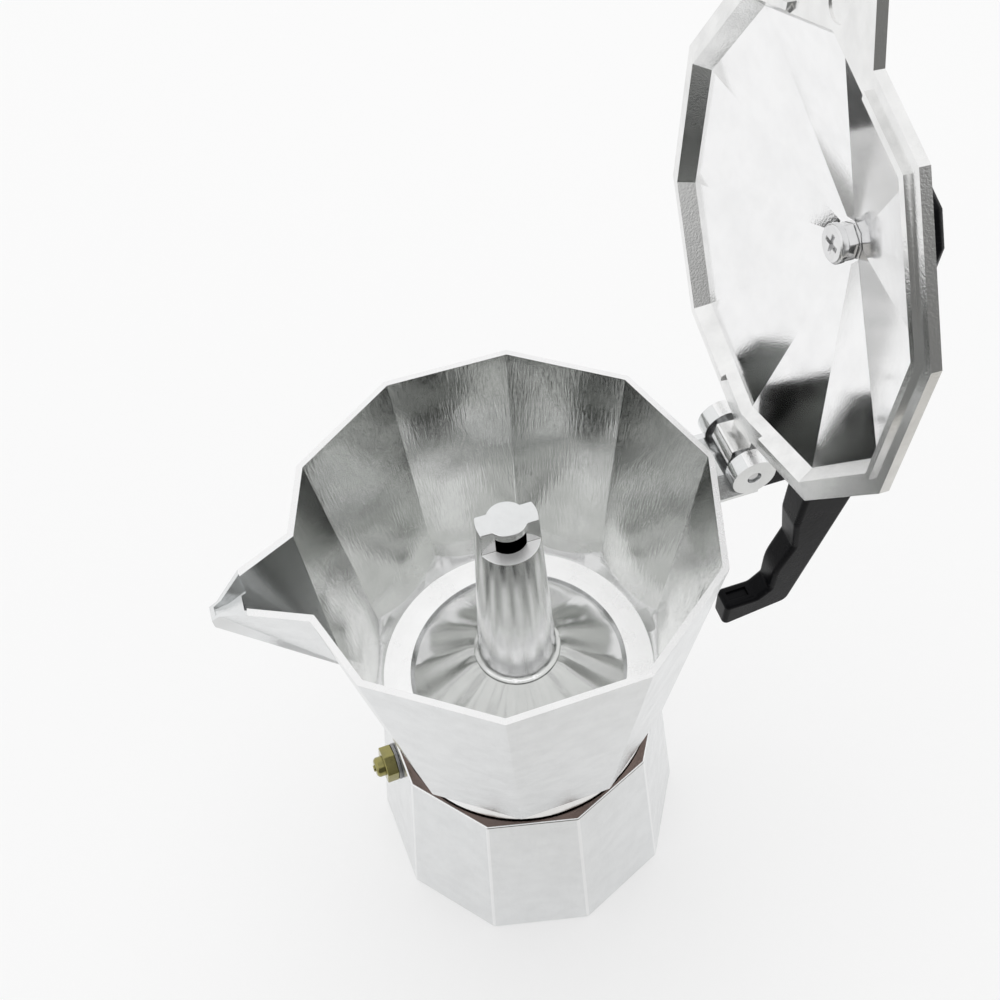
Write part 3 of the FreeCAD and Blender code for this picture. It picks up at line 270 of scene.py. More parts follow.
satin_casting = metal("satin_casting", colour=(0.79, 0.80, 0.803), smooth=0.18, rough=0.26, bump=0.0004,
                      Shade=0.06, Waves=0.35, Grain=0.05, Streaks=0.16, Pits=0.35)
# The rounded edges are painted brighter than the facets: partly worn metal, partly a painted highlight.
worn_and_highlit_edge = metal("worn_and_highlit_edge", colour=(0.865, 0.87, 0.872), smooth=0.14, rough=0.22, bump=0.0002,
                  Shade=0.02, Waves=0.2, Grain=0.05, Streaks=0.05, Pits=0.1)
# The flat shoulder round the neck is painted dark brown: a painted reflection of the dim room, not a colour
# of the metal.
shoulder_painted_reflection = metal("shoulder_painted_reflection", colour=(0.22, 0.165, 0.145), smooth=0.10, rough=0.18,
                        bump=0.0002, Shade=0.25, Waves=0.1, Grain=0.03, Streaks=0.0, Pits=0.2,
                        Turned=0.10)
finishes = [satin_casting, shoulder_painted_reflection, worn_and_highlit_edge]
shape = shape_of("boiler")
outer_edges = creases(shape, EDGE_ANGLE, is_boiler_edge)
soften(shape, outer_edges, BOILER_EDGE, finish=finishes.index(worn_and_highlit_edge))
for face in shape.faces:
    at = face.calc_center_median()
    on_shoulder = BOILER_SHOULDER - LEVEL_SLACK < at.z < BOILER_SHOULDER + LEVEL_SLACK
    if on_shoulder and face.normal.z > LEVEL_NORMAL:
        face.material_index = finishes.index(shoulder_painted_reflection)
finished(shape, "boiler_casting", finishes, "boiler", "boiler")

# Safety valve: a turned brass body with a hexagon, screwed through one side of the boiler.
# It seats on a grey washer, and a nut holds it from inside.
# A brass nipple is pressed into its outer end, round the valve's stem.

VALVE_EDGE = 0.00018
STEM_EDGE = VALVE_EDGE / 3

turned_brass = metal("turned_brass", colour=(0.36, 0.325, 0.115), smooth=0.10, rough=0.20, bump=0.0002,
                     Shade=0.30, Waves=0.1, Grain=0.05, Streaks=0.15, Pits=0.4)
washer_grey = metal("washer_grey", colour=(0.34, 0.34, 0.34), smooth=0.40, rough=0.55, bump=0.0002,
                    Shade=0.15, Waves=0.1, Grain=0.2, Streaks=0.1, Pits=0.2)


def small_part(node, name, edge, material, body):
    """A small turned, pressed or moulded part: the CAD shape with its sharp edges broken."""
    shape = shape_of(node)
    soften(shape, creases(shape, SMOOTH_ANGLE), edge, segments=1)
    return finished(shape, name, [material], body, node)


small_part("valve_washer", "valve_sealing_washer", VALVE_EDGE, washer_grey, "boiler")
small_part("valve_body", "valve_hexagon_body", VALVE_EDGE, turned_brass, "boiler")
small_part("valve_cap", "valve_nipple", VALVE_EDGE, turned_brass, "boiler")
small_part("valve_lock_nut", "valve_inner_nut", VALVE_EDGE, turned_brass, "boiler")
small_part("valve_pin", "valve_stem", STEM_EDGE, turned_brass, "valve_poppet")

# Valve spring: steel wire wound in a helix round the stem, between the poppet's collar and the nipple.
# It is hidden inside the valve body, and is built at one fixed length that does not follow the valve's
# lift.

SPRING_TURNS = 5.0
SPRING_STEPS = 40
SPRING_RADIUS = 0.0014
SPRING_WIRE = 0.000225
WIRE_SIDES = 10
SPRING_LENGTH = 0.00503
SPRING_START = -0.003505
VALVE_CENTRE = Vector((-0.03498, -0.00251, 0.0532))
VALVE_AXIS = Vector((-0.99051, -0.07100, 0.11767))

bright_steel = metal("bright_steel", colour=(0.66, 0.66, 0.665), smooth=0.14, rough=0.26, bump=0.0001,
                     Shade=0.12, Waves=0.1, Grain=0.05, Streaks=0.1, Pits=0.1)


def geometry_tree(name, inputs):
    """Empty geometry node tree with named number inputs; gives the tree and its input sockets."""
    tree = bpy.data.node_groups.new(name, "GeometryNodeTree")
    for label in inputs:
        tree.interface.new_socket(label, in_out="INPUT", socket_type="NodeSocketFloat")
    tree.interface.new_socket("Geometry", in_out="OUTPUT", socket_type="NodeSocketGeometry")
    return tree, tree.nodes.new("NodeGroupInput").outputs


def close_tree(tree, geometry, material):
    """Ends a tree in real geometry with its material set."""
    real = wire(tree, "GeometryNodeRealizeInstances", {0: geometry}).outputs[0]
    painted = wire(tree, "GeometryNodeSetMaterial", {"Geometry": real, "Material": material}).outputs[0]
    tree.links.new(painted, tree.nodes.new("NodeGroupOutput").inputs["Geometry"])


def mesh_from_tree(tree, values):
    """Plain mesh that a tree gives for a set of named input values."""
    carrier = placed(tree.name, bpy.data.meshes.new(tree.name))
    modifier = carrier.modifiers.new("shape", "NODES")
    modifier.node_group = tree
    for item in tree.interface.items_tree:
        if item.in_out == "INPUT":
            modifier[item.identifier] = values[item.name]
    grown = carrier.evaluated_get(bpy.context.evaluated_depsgraph_get())
    mesh = bpy.data.meshes.new_from_object(grown)
    bpy.data.objects.remove(carrier)
    return mesh


tree, given = geometry_tree("wound_spring", ("Radius", "Length", "Turns", "Wire"))
spiral = wire(tree, "GeometryNodeCurveSpiral", {"Resolution": SPRING_STEPS, "Rotations": given["Turns"],
                                                "Start Radius": given["Radius"],
                                                "End Radius": given["Radius"],
                                                "Height": given["Length"]})
section = wire(tree, "GeometryNodeCurvePrimitiveCircle", {"Resolution": WIRE_SIDES,
                                                          "Radius": given["Wire"]})
coil = wire(tree, "GeometryNodeCurveToMesh", {"Curve": spiral.outputs[0],
                                              "Profile Curve": section.outputs[0], "Fill Caps": True})
close_tree(tree, coil.outputs[0], bright_steel)
mesh = mesh_from_tree(tree, {"Radius": SPRING_RADIUS, "Length": SPRING_LENGTH, "Turns": SPRING_TURNS,
                             "Wire": SPRING_WIRE})
lie = VALVE_AXIS.to_track_quat("Z", "Y").to_matrix().to_4x4()
mesh.transform(Matrix.Translation(VALVE_CENTRE + VALVE_AXIS * SPRING_START) @ lie)
shape = shape_from(mesh)
bmesh.ops.recalc_face_normals(shape, faces=shape.faces)
spring = finished(shape, "valve_coil_spring", [bright_steel], "boiler", "valve_spring")
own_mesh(spring)

# Coffee funnel: a basket with a long tube that reaches down into the water.
# It is drawn from aluminium sheet, and its rim hangs on the boiler's neck.

FUNNEL_EDGE = 0.0002

drawn_sheet = metal("drawn_sheet", colour=(0.76, 0.765, 0.77), smooth=0.26, rough=0.38, bump=0.0002,
                    Shade=0.08, Waves=0.3, Grain=0.1, Streaks=0.2, Pits=0.1)
small_part("funnel", "coffee_funnel", FUNNEL_EDGE, drawn_sheet, "boiler")

# Sieve and filter plate: two thin aluminium discs with punched holes on rings.
# The sieve lies in the bottom of the basket, the filter plate under the collector's floor.

DISC_SIDES = 96
HOLE_SIDES = 14
HOLES_ADDED = 6
PUNCH_HEIGHT = 3.0
SIEVE_RINGS = 4
SIEVE_HOLE_RADIUS = 0.0008
SIEVE_RING_STEP = 0.0047
FILTER_RINGS = 5
FILTER_HOLE_RADIUS = 0.00065
FILTER_RING_STEP = 0.0042


def perforated_plate(rings):
    """Tree for a disc with a hole in the middle and rings of holes round it, six more on each ring."""
    tree, given = geometry_tree("punched_disc", ("Radius", "Thickness", "Hole Radius", "Ring Step"))
    disc = wire(tree, "GeometryNodeMeshCylinder", {"Vertices": DISC_SIDES, "Radius": given["Radius"],
                                                   "Depth": given["Thickness"]})
    middle = wire(tree, "GeometryNodePoints", {"Count": 1})
    places = wire(tree, "GeometryNodeJoinGeometry")
    tree.links.new(middle.outputs[0], places.inputs[0])
    for ring in range(1, rings + 1):
        reach = maths(tree, "MULTIPLY", given["Ring Step"], float(ring))
        circle = wire(tree, "GeometryNodeMeshCircle", {"Vertices": HOLES_ADDED * ring, "Radius": reach})
        points = wire(tree, "GeometryNodeMeshToPoints", {"Mesh": circle.outputs[0]})
        tree.links.new(points.outputs[0], places.inputs[0])
    tall = maths(tree, "MULTIPLY", given["Thickness"], PUNCH_HEIGHT)
    punch = wire(tree, "GeometryNodeMeshCylinder", {"Vertices": HOLE_SIDES, "Radius": given["Hole Radius"],
                                                    "Depth": tall})
    punches = wire(tree, "GeometryNodeInstanceOnPoints", {"Points": places.outputs[0],
                                                          "Instance": punch.outputs["Mesh"]})
    real = wire(tree, "GeometryNodeRealizeInstances", {0: punches.outputs[0]})
    cut = wire(tree, "GeometryNodeMeshBoolean", operation="DIFFERENCE")
    tree.links.new(disc.outputs["Mesh"], cut.inputs[0])
    tree.links.new(real.outputs[0], cut.inputs[1])
    close_tree(tree, cut.outputs[0], drawn_sheet)
    return tree


def punched_disc(node, name, body, rings, hole_radius, ring_step):
    """A perforated disc that fills its CAD node's box."""
    low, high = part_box(node)
    sizes = {"Radius": (high.x - low.x) / 2, "Thickness": high.z - low.z,
             "Hole Radius": hole_radius, "Ring Step": ring_step}
    mesh = mesh_from_tree(perforated_plate(rings), sizes)
    mesh.transform(Matrix.Translation((low + high) / 2))
    return finished(shape_from(mesh), name, [drawn_sheet], body, node)


punched_disc("funnel_sieve", "basket_sieve", "boiler", SIEVE_RINGS, SIEVE_HOLE_RADIUS, SIEVE_RING_STEP)
punched_disc("filter_plate", "upper_filter_plate", "seal", FILTER_RINGS, FILTER_HOLE_RADIUS,
             FILTER_RING_STEP)

# Gasket: a sealing ring moulded in pale rubber, with a faint bloom on its skin.
# It is pressed between the basket's rim and the collector's floor.

GASKET_EDGE = 0.0003
RUBBER_PALE = (0.72, 0.70, 0.65, 1.0)
RUBBER_BLOOM = (0.80, 0.79, 0.76, 1.0)
RUBBER_SKIN = 0.00005

pale_rubber, tree, shader = blank_finish("pale_rubber")
place = place_on_piece(tree)
bloom = noise(tree, place, scale=180.0, detail=4.0)
skin = noise(tree, place, scale=3000.0, detail=2.0)
tree.links.new(blend(tree, RUBBER_PALE, RUBBER_BLOOM, bloom), shader.inputs["Base Color"])
dull = ramp(tree, bloom, low=0.3, high=0.7, to_low=0.55, to_high=0.75)
tree.links.new(dull, shader.inputs["Roughness"])
raised = wire(tree, "ShaderNodeBump", {"Height": skin, "Distance": RUBBER_SKIN})
tree.links.new(raised.outputs["Normal"], shader.inputs["Normal"])
small_part("gasket", "rubber_gasket", GASKET_EDGE, pale_rubber, "seal")

# Collector: the upper chamber, cast in aluminium in one piece with its spout, hinge and handle tang.
# It is satin outside and polished inside. The rim is faced off flat, and the floor and waist are turned.

COLLECTOR_EDGE = 0.0003
COLLECTOR_EDGE_LENGTH = 0.0025
INNER_EDGE = 0.00035
INNER_EDGE_LENGTH = 0.02
INNER_EDGE_STEPS = 3
COLLECTOR_RIM = 0.142
RIM_CLEARANCE = 0.001
RIM_NORMAL = 0.9
COLLECTOR_FLOOR = 0.0789
FLOOR_SLACK = 0.0003
COVE_HEIGHT = 0.0062
COVE_DEPTH = 0.0010
COVE_RADIUS = 0.0367
COVE_NORMAL = 0.3
CONE_RADIUS = 0.0262
CONE_NORMAL = 0.2
CONE_RISE = 0.0100
CONE_RUN = 0.0146
CONE_FLUTES = 14.0
FLUTE_DEPTH = 0.00022
WAIST_TOP = 0.0696
SPOUT_ROOT = -0.0430
HINGE_ROOT = 0.0440
BAND_LEAN = (0.0, 0.0, 0.35)
FLOOR_LEAN = (-0.03, -0.24, 0.0)


def round_finish(material, rise, run):
    """Gives a finish the exact normals of a cone round the pot's axis, under its own surface."""
    tree = material.node_tree
    flat = wire(tree, "ShaderNodeVectorMath", {0: place_on_piece(tree), 1: ACROSS_AXIS},
                operation="MULTIPLY")
    outward = wire(tree, "ShaderNodeVectorMath", {0: flat.outputs[0]}, operation="NORMALIZE")
    slanted = wire(tree, "ShaderNodeVectorMath", {0: outward.outputs[0], 1: (rise, rise, rise),
                                                  2: (0.0, 0.0, run)}, operation="MULTIPLY_ADD")
    turned = wire(tree, "ShaderNodeVectorTransform", {0: slanted.outputs[0]}, vector_type="NORMAL",
                  convert_from="OBJECT", convert_to="WORLD")
    unit = wire(tree, "ShaderNodeVectorMath", {0: turned.outputs[0]}, operation="NORMALIZE")
    raised = tree.nodes["Principled BSDF"].inputs["Normal"].links[0].from_node
    tree.links.new(unit.outputs[0], raised.inputs["Normal"])


def flute_finish(material, count, depth):
    """Adds shallow flutes round the pot's axis to a finish, on top of its own surface."""
    tree = material.node_tree
    place = wire(tree, "ShaderNodeSeparateXYZ", {0: place_on_piece(tree)})
    heading = maths(tree, "ARCTAN2", place.outputs["Y"], place.outputs["X"])
    wave = maths(tree, "SINE", maths(tree, "MULTIPLY", heading, count))
    normal = tree.nodes["Principled BSDF"].inputs["Normal"]
    fluted = wire(tree, "ShaderNodeBump", {"Height": wave, "Distance": depth, "Strength": 1.0,
                                           "Normal": normal.links[0].from_socket})
    tree.links.new(fluted.outputs["Normal"], normal)


def lean_finish(material, lean):
    """Leans a finish's normals towards a direction, to stand for a face that isn't quite flat."""
    tree = material.node_tree
    normal = tree.nodes["Principled BSDF"].inputs["Normal"]
    turned = wire(tree, "ShaderNodeVectorTransform", {0: lean}, vector_type="VECTOR",
                  convert_from="OBJECT", convert_to="WORLD")
    leaning = wire(tree, "ShaderNodeVectorMath", {0: normal.links[0].from_socket, 1: turned.outputs[0]},
                   operation="ADD")
    unit = wire(tree, "ShaderNodeVectorMath", {0: leaning.outputs[0]}, operation="NORMALIZE")
    tree.links.new(unit.outputs[0], normal)


def faces_axis(face, at):
    """Whether a face looks from a point towards the pot's axis."""
    return face.normal.dot(Vector((at.x, at.y, 0.0))) < 0.0


def is_inner_seam(edge, at):
    """Long seams between the inner walls, above the floor and below the rim."""
    between = COLLECTOR_FLOOR < at.z < COLLECTOR_RIM - RIM_CLEARANCE
    inside = all(faces_axis(face, at) for face in edge.link_faces)
    return between and inside and edge.calc_length() > INNER_EDGE_LENGTH


def is_outer_corner(edge, at):
    """Longer edges above the turned waist, but not those of the cove round the floor."""
    low = COLLECTOR_FLOOR - COVE_DEPTH < at.z < COLLECTOR_FLOOR + COVE_HEIGHT
    in_cove = low and math.hypot(at.x, at.y) < COVE_RADIUS
    above_waist = at.z > WAIST_TOP + LEVEL_SLACK
    return above_waist and edge.calc_length() > COLLECTOR_EDGE_LENGTH and not in_cove


turned_face = metal("turned_face", colour=(0.86, 0.865, 0.865), smooth=0.08, rough=0.14, bump=0.0002,
                    Shade=0.04, Waves=0.1, Grain=0.03, Streaks=0.0, Pits=0.2, Turned=0.10)
turned_band = metal("turned_band", colour=(0.97, 0.97, 0.97), smooth=0.26, rough=0.34, bump=0.0002,
                    Shade=0.02, Waves=0.1, Grain=0.05, Streaks=0.0, Pits=0.2, Turned=0.08)
lean_finish(turned_band, BAND_LEAN)
inner_polish = metal("inner_polish", colour=(0.755, 0.765, 0.75), smooth=0.06, rough=0.12, bump=0.0019,
                     Shade=0.09, Waves=0.55, Grain=0.006, Streaks=0.12, Pits=0.0)
faced_rim = metal("faced_rim", colour=(0.90, 0.90, 0.90), smooth=0.22, rough=0.32, bump=0.0002,
                  Shade=0.03, Waves=0.1, Grain=0.2, Streaks=0.05, Pits=0.2)
turned_floor = metal("turned_floor", colour=(0.99, 0.99, 0.99), smooth=0.22, rough=0.30, bump=0.0002,
                     Shade=0.01, Waves=0.1, Grain=0.1, Streaks=0.0, Pits=0.1, Turned=0.06)
lean_finish(turned_floor, FLOOR_LEAN)
cone_polish = metal("cone_polish", colour=(0.86, 0.86, 0.86), smooth=0.10, rough=0.17, bump=0.0005,
                    Shade=0.06, Waves=0.35, Grain=0.02, Streaks=0.0, Pits=0.2)
round_finish(cone_polish, CONE_RISE, CONE_RUN)
flute_finish(cone_polish, CONE_FLUTES, FLUTE_DEPTH)
finishes = [satin_casting, inner_polish, faced_rim, cone_polish, turned_face, turned_floor,
            turned_band, worn_and_highlit_edge]
shape = shape_of("collector")
soften(shape, creases(shape, EDGE_ANGLE, is_inner_seam), INNER_EDGE, segments=INNER_EDGE_STEPS)
outer_corners = creases(shape, EDGE_ANGLE, is_outer_corner)
# The outer corners' rounds get the same brighter colour: partly wear, partly a painted highlight.
soften(shape, outer_corners, COLLECTOR_EDGE, finish=finishes.index(worn_and_highlit_edge))
for face in shape.faces:
    at = face.calc_center_median()
    inward = faces_axis(face, at)
    up = face.normal.z
    if at.z > COLLECTOR_RIM - LEVEL_SLACK and up > RIM_NORMAL:
        face.material_index = finishes.index(faced_rim)
    elif abs(at.z - COLLECTOR_FLOOR) < FLOOR_SLACK and up > LEVEL_NORMAL:
        face.material_index = finishes.index(turned_floor)
    elif at.z > COLLECTOR_FLOOR - COVE_DEPTH and at.xy.length < CONE_RADIUS and up > CONE_NORMAL:
        face.material_index = finishes.index(cone_polish)
    elif COLLECTOR_FLOOR < at.z < COLLECTOR_FLOOR + COVE_HEIGHT and inward and up > COVE_NORMAL:
        face.material_index = finishes.index(turned_face)
    elif at.z > COLLECTOR_FLOOR and inward and SPOUT_ROOT < at.x < HINGE_ROOT:
        face.material_index = finishes.index(inner_polish)
    elif at.z < WAIST_TOP and not inward:
        face.material_index = finishes.index(turned_band)
finished(shape, "collector_casting", finishes, "collector", "collector")

# Column: the chimney that the coffee rises through, turned from aluminium bar and polished.
# Its foot is pressed into the floor's cone, and two windows are milled under its top disc.

COLUMN_EDGE = 0.00022
COLUMN_WAIST = 0.110
COLUMN_LEAN = (0.0, 0.0, 0.10)
DISC_THICKNESS = 0.001
DISC_NORMAL = 0.9
BORE_NORMAL = 0.5

column_polish = metal("column_polish", colour=(0.97, 0.97, 0.972), smooth=0.12, rough=0.20, bump=0.0003,
                      Shade=0.06, Waves=0.3, Grain=0.03, Streaks=0.12, Pits=0.1)
lean_finish(column_polish, COLUMN_LEAN)
milled_sill = metal("milled_sill", colour=(0.95, 0.95, 0.95), smooth=0.40, rough=0.50, bump=0.0002,
                    Shade=0.04, Waves=0.1, Grain=0.2, Streaks=0.0, Pits=0.2)
# The column's bore is painted near-black, much darker than its polished outside.
near_black_bore = metal("near_black_bore", colour=(0.055, 0.050, 0.046), smooth=0.35, rough=0.50, bump=0.0002,
                     Shade=0.2, Waves=0.2, Grain=0.2, Streaks=0.1, Pits=0.2)
finishes = [column_polish, milled_sill, near_black_bore, satin_casting]
shape = shape_of("column")
soften(shape, creases(shape, SMOOTH_ANGLE), COLUMN_EDGE, segments=1)
column_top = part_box("column")[1].z
for face in shape.faces:
    at = face.calc_center_median()
    if at.z > COLUMN_WAIST and face.normal.z > DISC_NORMAL:
        on_disc = at.z > column_top - DISC_THICKNESS
        face.material_index = finishes.index(satin_casting if on_disc else milled_sill)
    elif faces_axis(face, at) and abs(face.normal.z) < BORE_NORMAL:
        face.material_index = finishes.index(near_black_bore)
finished(shape, "coffee_column", finishes, "collector", "column")

# Handle: moulded black plastic, with two finger lobes and a hook at the foot.
# It is pushed on the collector's tang and held by a steel cross pin.

HANDLE_EDGE = 0.0002
PIN_EDGE = 0.0001
BLACK_DEEP = (0.004, 0.004, 0.005, 1.0)
BLACK_SMEARED = (0.007, 0.007, 0.008, 1.0)
BLACK_SCUFFED = (0.04, 0.04, 0.042, 1.0)
BLACK_SPECULAR = 0.07
SCUFF_TURN = (0.3, 0.5, 0.2)
SCUFF_STRETCH = (60.0, 2200.0, 2200.0)
SCUFF_SHARE = 0.30
SCUFF_ROUGHNESS = 0.12
SKIN_SHARE = 0.5
SKIN_DEPTH = 0.00008


def moulded_black():
    """Semi-gloss black moulding with a fine skin and faint handling marks."""
    material, tree, shader = blank_finish("black_moulding")
    place = place_on_piece(tree)
    smear = noise(tree, place, scale=130.0, detail=4.0, roughness=0.6)
    skin = noise(tree, place, scale=1900.0, detail=2.0)
    along = wire(tree, "ShaderNodeMapping", {"Vector": place, "Rotation": SCUFF_TURN,
                                             "Scale": SCUFF_STRETCH})
    scuff = ramp(tree, noise(tree, along.outputs[0], scale=1.0, detail=2.0), low=0.66, high=0.74)
    tone = blend(tree, BLACK_DEEP, BLACK_SMEARED, smear)
    tone = blend(tree, tone, BLACK_SCUFFED, maths(tree, "MULTIPLY", scuff, SCUFF_SHARE))
    shader.inputs["Specular IOR Level"].default_value = BLACK_SPECULAR
    tree.links.new(tone, shader.inputs["Base Color"])
    smeared = ramp(tree, smear, low=0.3, high=0.7, to_low=0.24, to_high=0.36)
    rough = maths(tree, "ADD", smeared, maths(tree, "MULTIPLY", scuff, SCUFF_ROUGHNESS))
    tree.links.new(rough, shader.inputs["Roughness"])
    height = maths(tree, "ADD", maths(tree, "MULTIPLY", skin, SKIN_SHARE), smear)
    raised = wire(tree, "ShaderNodeBump", {"Height": height, "Distance": SKIN_DEPTH})
    tree.links.new(raised.outputs["Normal"], shader.inputs["Normal"])
    return material


black_moulding = moulded_black()
small_part("handle", "handle_moulding", HANDLE_EDGE, black_moulding, "collector")
small_part("handle_pin", "handle_cross_pin", PIN_EDGE, bright_steel, "collector")

# Hinge pin: a solid steel pin with bevelled ends, on which the lid's lug turns.
# It is pressed through the collector's two knuckles.

small_part("hinge_pin", "lid_hinge_pin", PIN_EDGE, bright_steel, "collector")

# Lid: cast in aluminium with a faceted dome, a flat tongue over the spout and a hinge lug.
# Its underside is polished. It stands open here, leaning back on the heel of its lug.

LID_EDGE = 0.00025
LID_EDGE_LENGTH = 0.0015
LID_SEAM_ANGLE = math.radians(9)
LID_OPEN = math.radians(91.9)
HINGE = Vector((0.0498, 0.0, 0.1429))
SHUT = Matrix.Translation(HINGE) @ Matrix.Rotation(-LID_OPEN, 4, "Y") @ Matrix.Translation(-HINGE)
DOME_SPRING = 0.1440
DOME_RADIUS = 0.0392
DOME_NORMAL = 0.3
SPOUT_FACET_SLOPE = 0.70
LID_LEAN = (-0.31, 0.09, 0.0)
SPOUT_FACET_LEAN = (-0.31, 0.02, 0.0)


def polished_facet(name, lean):
    """Polished underside of the lid's dome, with its facets leaning a little."""
    material = metal(name, colour=(0.94, 0.94, 0.943), smooth=0.07, rough=0.14, bump=0.0003,
                     Shade=0.05, Waves=0.30, Grain=0.03, Streaks=0.03, Pits=0.5)
    lean_finish(material, lean)
    return material


lid_polish = polished_facet("lid_polish", LID_LEAN)
spout_facet_polish = polished_facet("spout_facet_polish", SPOUT_FACET_LEAN)
lid_edge_metal = metal("lid_edge_metal", colour=(0.89, 0.89, 0.885), smooth=0.14, rough=0.24, bump=0.0003,
                       Shade=0.12, Waves=0.4, Grain=0.08, Streaks=0.05, Pits=0.6)
finishes = [lid_edge_metal, lid_polish, satin_casting, spout_facet_polish]
shape = shape_of("lid")
lid_edges = creases(shape, LID_SEAM_ANGLE, lambda edge, at: edge.calc_length() > LID_EDGE_LENGTH)
soften(shape, lid_edges, LID_EDGE)
for face in shape.faces:
    at = SHUT @ face.calc_center_median()
    facing = SHUT.to_3x3() @ face.normal
    if math.hypot(at.x, at.y) < DOME_RADIUS and at.z > DOME_SPRING and facing.z < -DOME_NORMAL:
        beside_spout = at.x < 0.0 < at.y < -at.x * SPOUT_FACET_SLOPE
        face.material_index = finishes.index(spout_facet_polish if beside_spout else lid_polish)
    elif facing.z > DOME_NORMAL:
        face.material_index = finishes.index(satin_casting)
finished(shape, "lid_casting", finishes, "lid", "lid")

# Knob and its fixing: a black moulded knob with a threaded brass bush inside.
# A pan-head screw goes up through a nut and the lid's crown into the bush.

BUSH_EDGE = 0.0001
KNOB_EDGE = 0.0004
NUT_EDGE = 0.0002
SCREW_EDGE = 0.00012

zinc_plate = metal("zinc_plate", colour=(0.82, 0.82, 0.825), smooth=0.12, rough=0.22, bump=0.0002,
                   Shade=0.12, Waves=0.2, Grain=0.05, Streaks=0.05, Pits=0.3)
small_part("knob_insert", "knob_bush", BUSH_EDGE, turned_brass, "lid")
small_part("knob", "knob_moulding", KNOB_EDGE, black_moulding, "lid")
small_part("knob_nut", "knob_fixing_nut", NUT_EDGE, zinc_plate, "lid")
small_part("knob_screw", "knob_fixing_screw", SCREW_EDGE, zinc_plate, "lid")

# Floor, light and camera: a plain white floor under a wide soft light from above.
# To glossy rays alone, the floor is shaded towards the front and ends there in a grey table,
# and the room in front of the pot is dim.

FLOOR_HALF = 3.0
FLOOR_CORNERS = [(-FLOOR_HALF, -FLOOR_HALF, 0.0), (FLOOR_HALF, -FLOOR_HALF, 0.0),
                 (FLOOR_HALF, FLOOR_HALF, 0.0), (-FLOOR_HALF, FLOOR_HALF, 0.0)]
SHEET_FRONT = -0.21
SHEET_BLUR = 0.02
SHEET_MIDDLE = -0.04
PAPER_WHITE = (0.96, 0.96, 0.96, 1.0)
PAPER_SHADED = (0.62, 0.60, 0.56, 1.0)
PAPER_ROUGHNESS = 0.9
PAPER_GLOW = 0.5
TABLE_GREY = (0.20, 0.205, 0.20, 1.0)

floor_mesh = bpy.data.meshes.new("table_top")
floor_mesh.from_pydata(FLOOR_CORNERS, [], [(0, 1, 2, 3)])
floor = placed("table_top", floor_mesh)
paper, tree, shader = blank_finish("white_paper")
shader.inputs["Roughness"].default_value = PAPER_ROUGHNESS
path = wire(tree, "ShaderNodeLightPath")
along = wire(tree, "ShaderNodeSeparateXYZ", {0: place_on_piece(tree)}).outputs["Y"]
past_sheet = ramp(tree, along, low=SHEET_FRONT, high=SHEET_FRONT - SHEET_BLUR)
bare_table = maths(tree, "MULTIPLY", path.outputs["Is Glossy Ray"], past_sheet)
towards_front = ramp(tree, along, low=SHEET_MIDDLE, high=SHEET_FRONT)
dimming = maths(tree, "MULTIPLY", path.outputs["Is Glossy Ray"], towards_front)
sheet = blend(tree, PAPER_WHITE, PAPER_SHADED, dimming)
tree.links.new(blend(tree, sheet, TABLE_GREY, bare_table), shader.inputs["Base Color"])
seen = maths(tree, "MAXIMUM", path.outputs["Is Camera Ray"], path.outputs["Is Glossy Ray"])
lifted = maths(tree, "MULTIPLY", seen, maths(tree, "SUBTRACT", 1.0, bare_table))
glow = wire(tree, "ShaderNodeEmission", {"Color": sheet, "Strength": 1.0})
mixed = wire(tree, "ShaderNodeMixShader", {0: maths(tree, "MULTIPLY", lifted, PAPER_GLOW),
                                           1: shader.outputs[0], 2: glow.outputs[0]})
tree.links.new(mixed.outputs[0], tree.nodes["Material Output"].inputs["Surface"])
floor_mesh.materials.append(paper)

SKY_WHITE = (1.0, 1.0, 1.0, 1.0)
SKY_STRENGTH = 0.75
ROOM_DARK = (0.18, 0.18, 0.175, 1.0)
ROOM_SIDE = 0.50
ROOM_FRONT = 0.75
ROOM_TOP = 0.93
ROOM_BELOW = 0.80

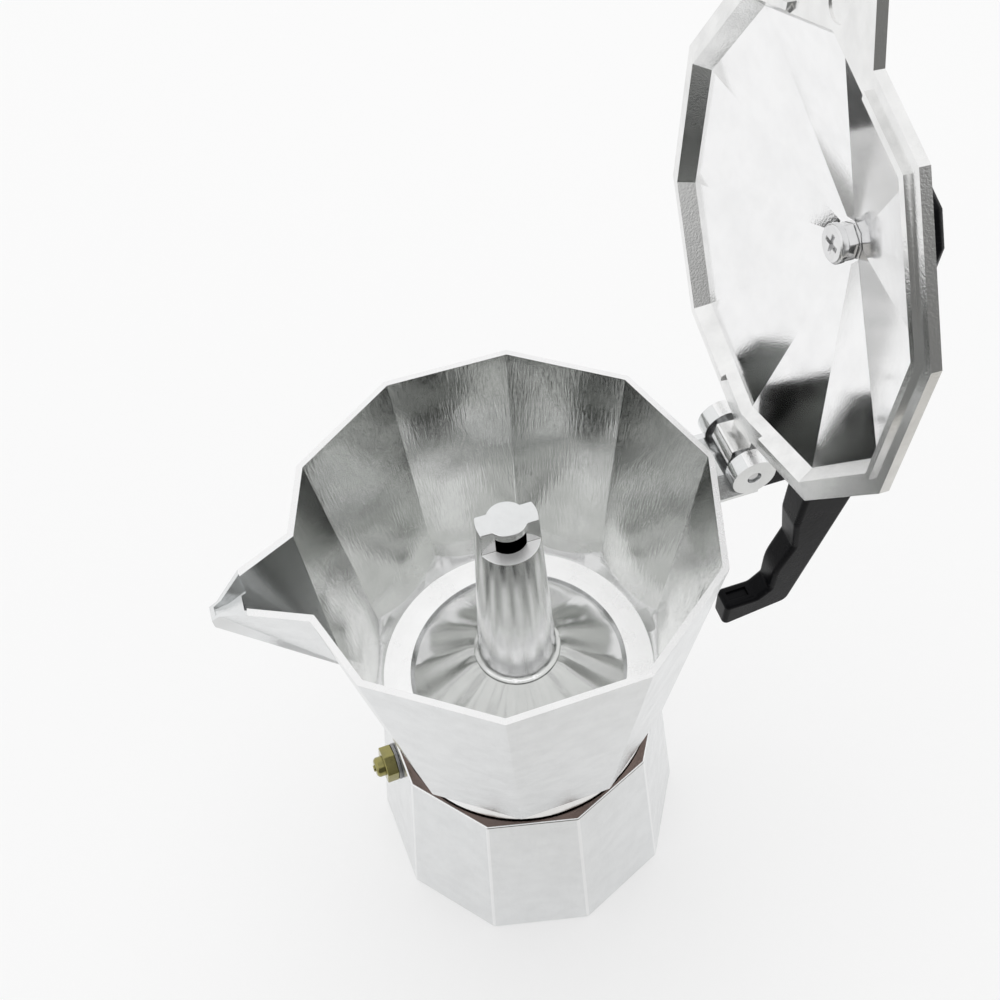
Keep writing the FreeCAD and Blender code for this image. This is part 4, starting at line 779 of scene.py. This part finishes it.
world = bpy.data.worlds.new("studio")
bpy.context.scene.world = world
world.use_nodes = True
tree = world.node_tree
background = tree.nodes["Background"]
path = wire(tree, "ShaderNodeLightPath")
sky_place = wire(tree, "ShaderNodeTexCoord").outputs["Generated"]
direction = wire(tree, "ShaderNodeSeparateXYZ", {0: sky_place})
forward = maths(tree, "MULTIPLY", direction.outputs["Y"], -1.0)
to_front = ramp(tree, forward, low=ROOM_SIDE, high=ROOM_FRONT)
low_down = ramp(tree, direction.outputs["Z"], low=ROOM_TOP, high=ROOM_BELOW)
in_room = maths(tree, "MULTIPLY", to_front, low_down)
dim_room = maths(tree, "MULTIPLY", in_room, path.outputs["Is Glossy Ray"])
tree.links.new(blend(tree, SKY_WHITE, ROOM_DARK, dim_room), background.inputs["Color"])
shown = maths(tree, "MAXIMUM", path.outputs["Is Camera Ray"], path.outputs["Is Transmission Ray"])
shown = maths(tree, "MAXIMUM", shown, path.outputs["Is Glossy Ray"])
strength = ramp(tree, shown, low=0.0, high=1.0, to_low=SKY_STRENGTH, to_high=1.0)
tree.links.new(strength, background.inputs["Strength"])

LAMP_SIZE = 1.6
LAMP_ENERGY = 9.0
LAMP_PLACE = Vector((0.15, 0.45, 1.6))
LAMP_AIM = Vector((0.0, 0.0, 0.1))

lamp = bpy.data.lights.new("window", "AREA")
lamp.shape = "RECTANGLE"
lamp.size = LAMP_SIZE
lamp.size_y = LAMP_SIZE
lamp.energy = LAMP_ENERGY
lamp_object = placed("window", lamp)
lamp_object.location = LAMP_PLACE
lamp_object.rotation_euler = (LAMP_AIM - LAMP_PLACE).to_track_quat("-Z", "Y").to_euler()
lamp_object.visible_glossy = False

CAMERA_PLACE = Vector((-0.0299535, -0.1217248, 0.3166585))
CAMERA_RIGHT = Vector((0.940398, -0.340077, -0.000079))
CAMERA_UP = Vector((0.281755, 0.778995, 0.560162))
CAMERA_BACK = CAMERA_RIGHT.cross(CAMERA_UP)
SENSOR_WIDTH = 36.0
LENS_LENGTH = 39.06
LENS_SHIFT = (-0.0728, 0.0431)
NEAREST_SEEN = 0.01

camera = bpy.data.cameras.new("photo_view")
camera.sensor_width = SENSOR_WIDTH
camera.lens = LENS_LENGTH
camera.shift_x, camera.shift_y = LENS_SHIFT
camera.clip_start = NEAREST_SEEN
camera_object = placed("photo_view", camera)
turn = Matrix((CAMERA_RIGHT, CAMERA_UP, CAMERA_BACK)).transposed()
camera_object.matrix_world = Matrix.Translation(CAMERA_PLACE) @ turn.to_4x4()
bpy.context.scene.camera = camera_object
bpy.context.scene.view_settings.view_transform = "Standard"
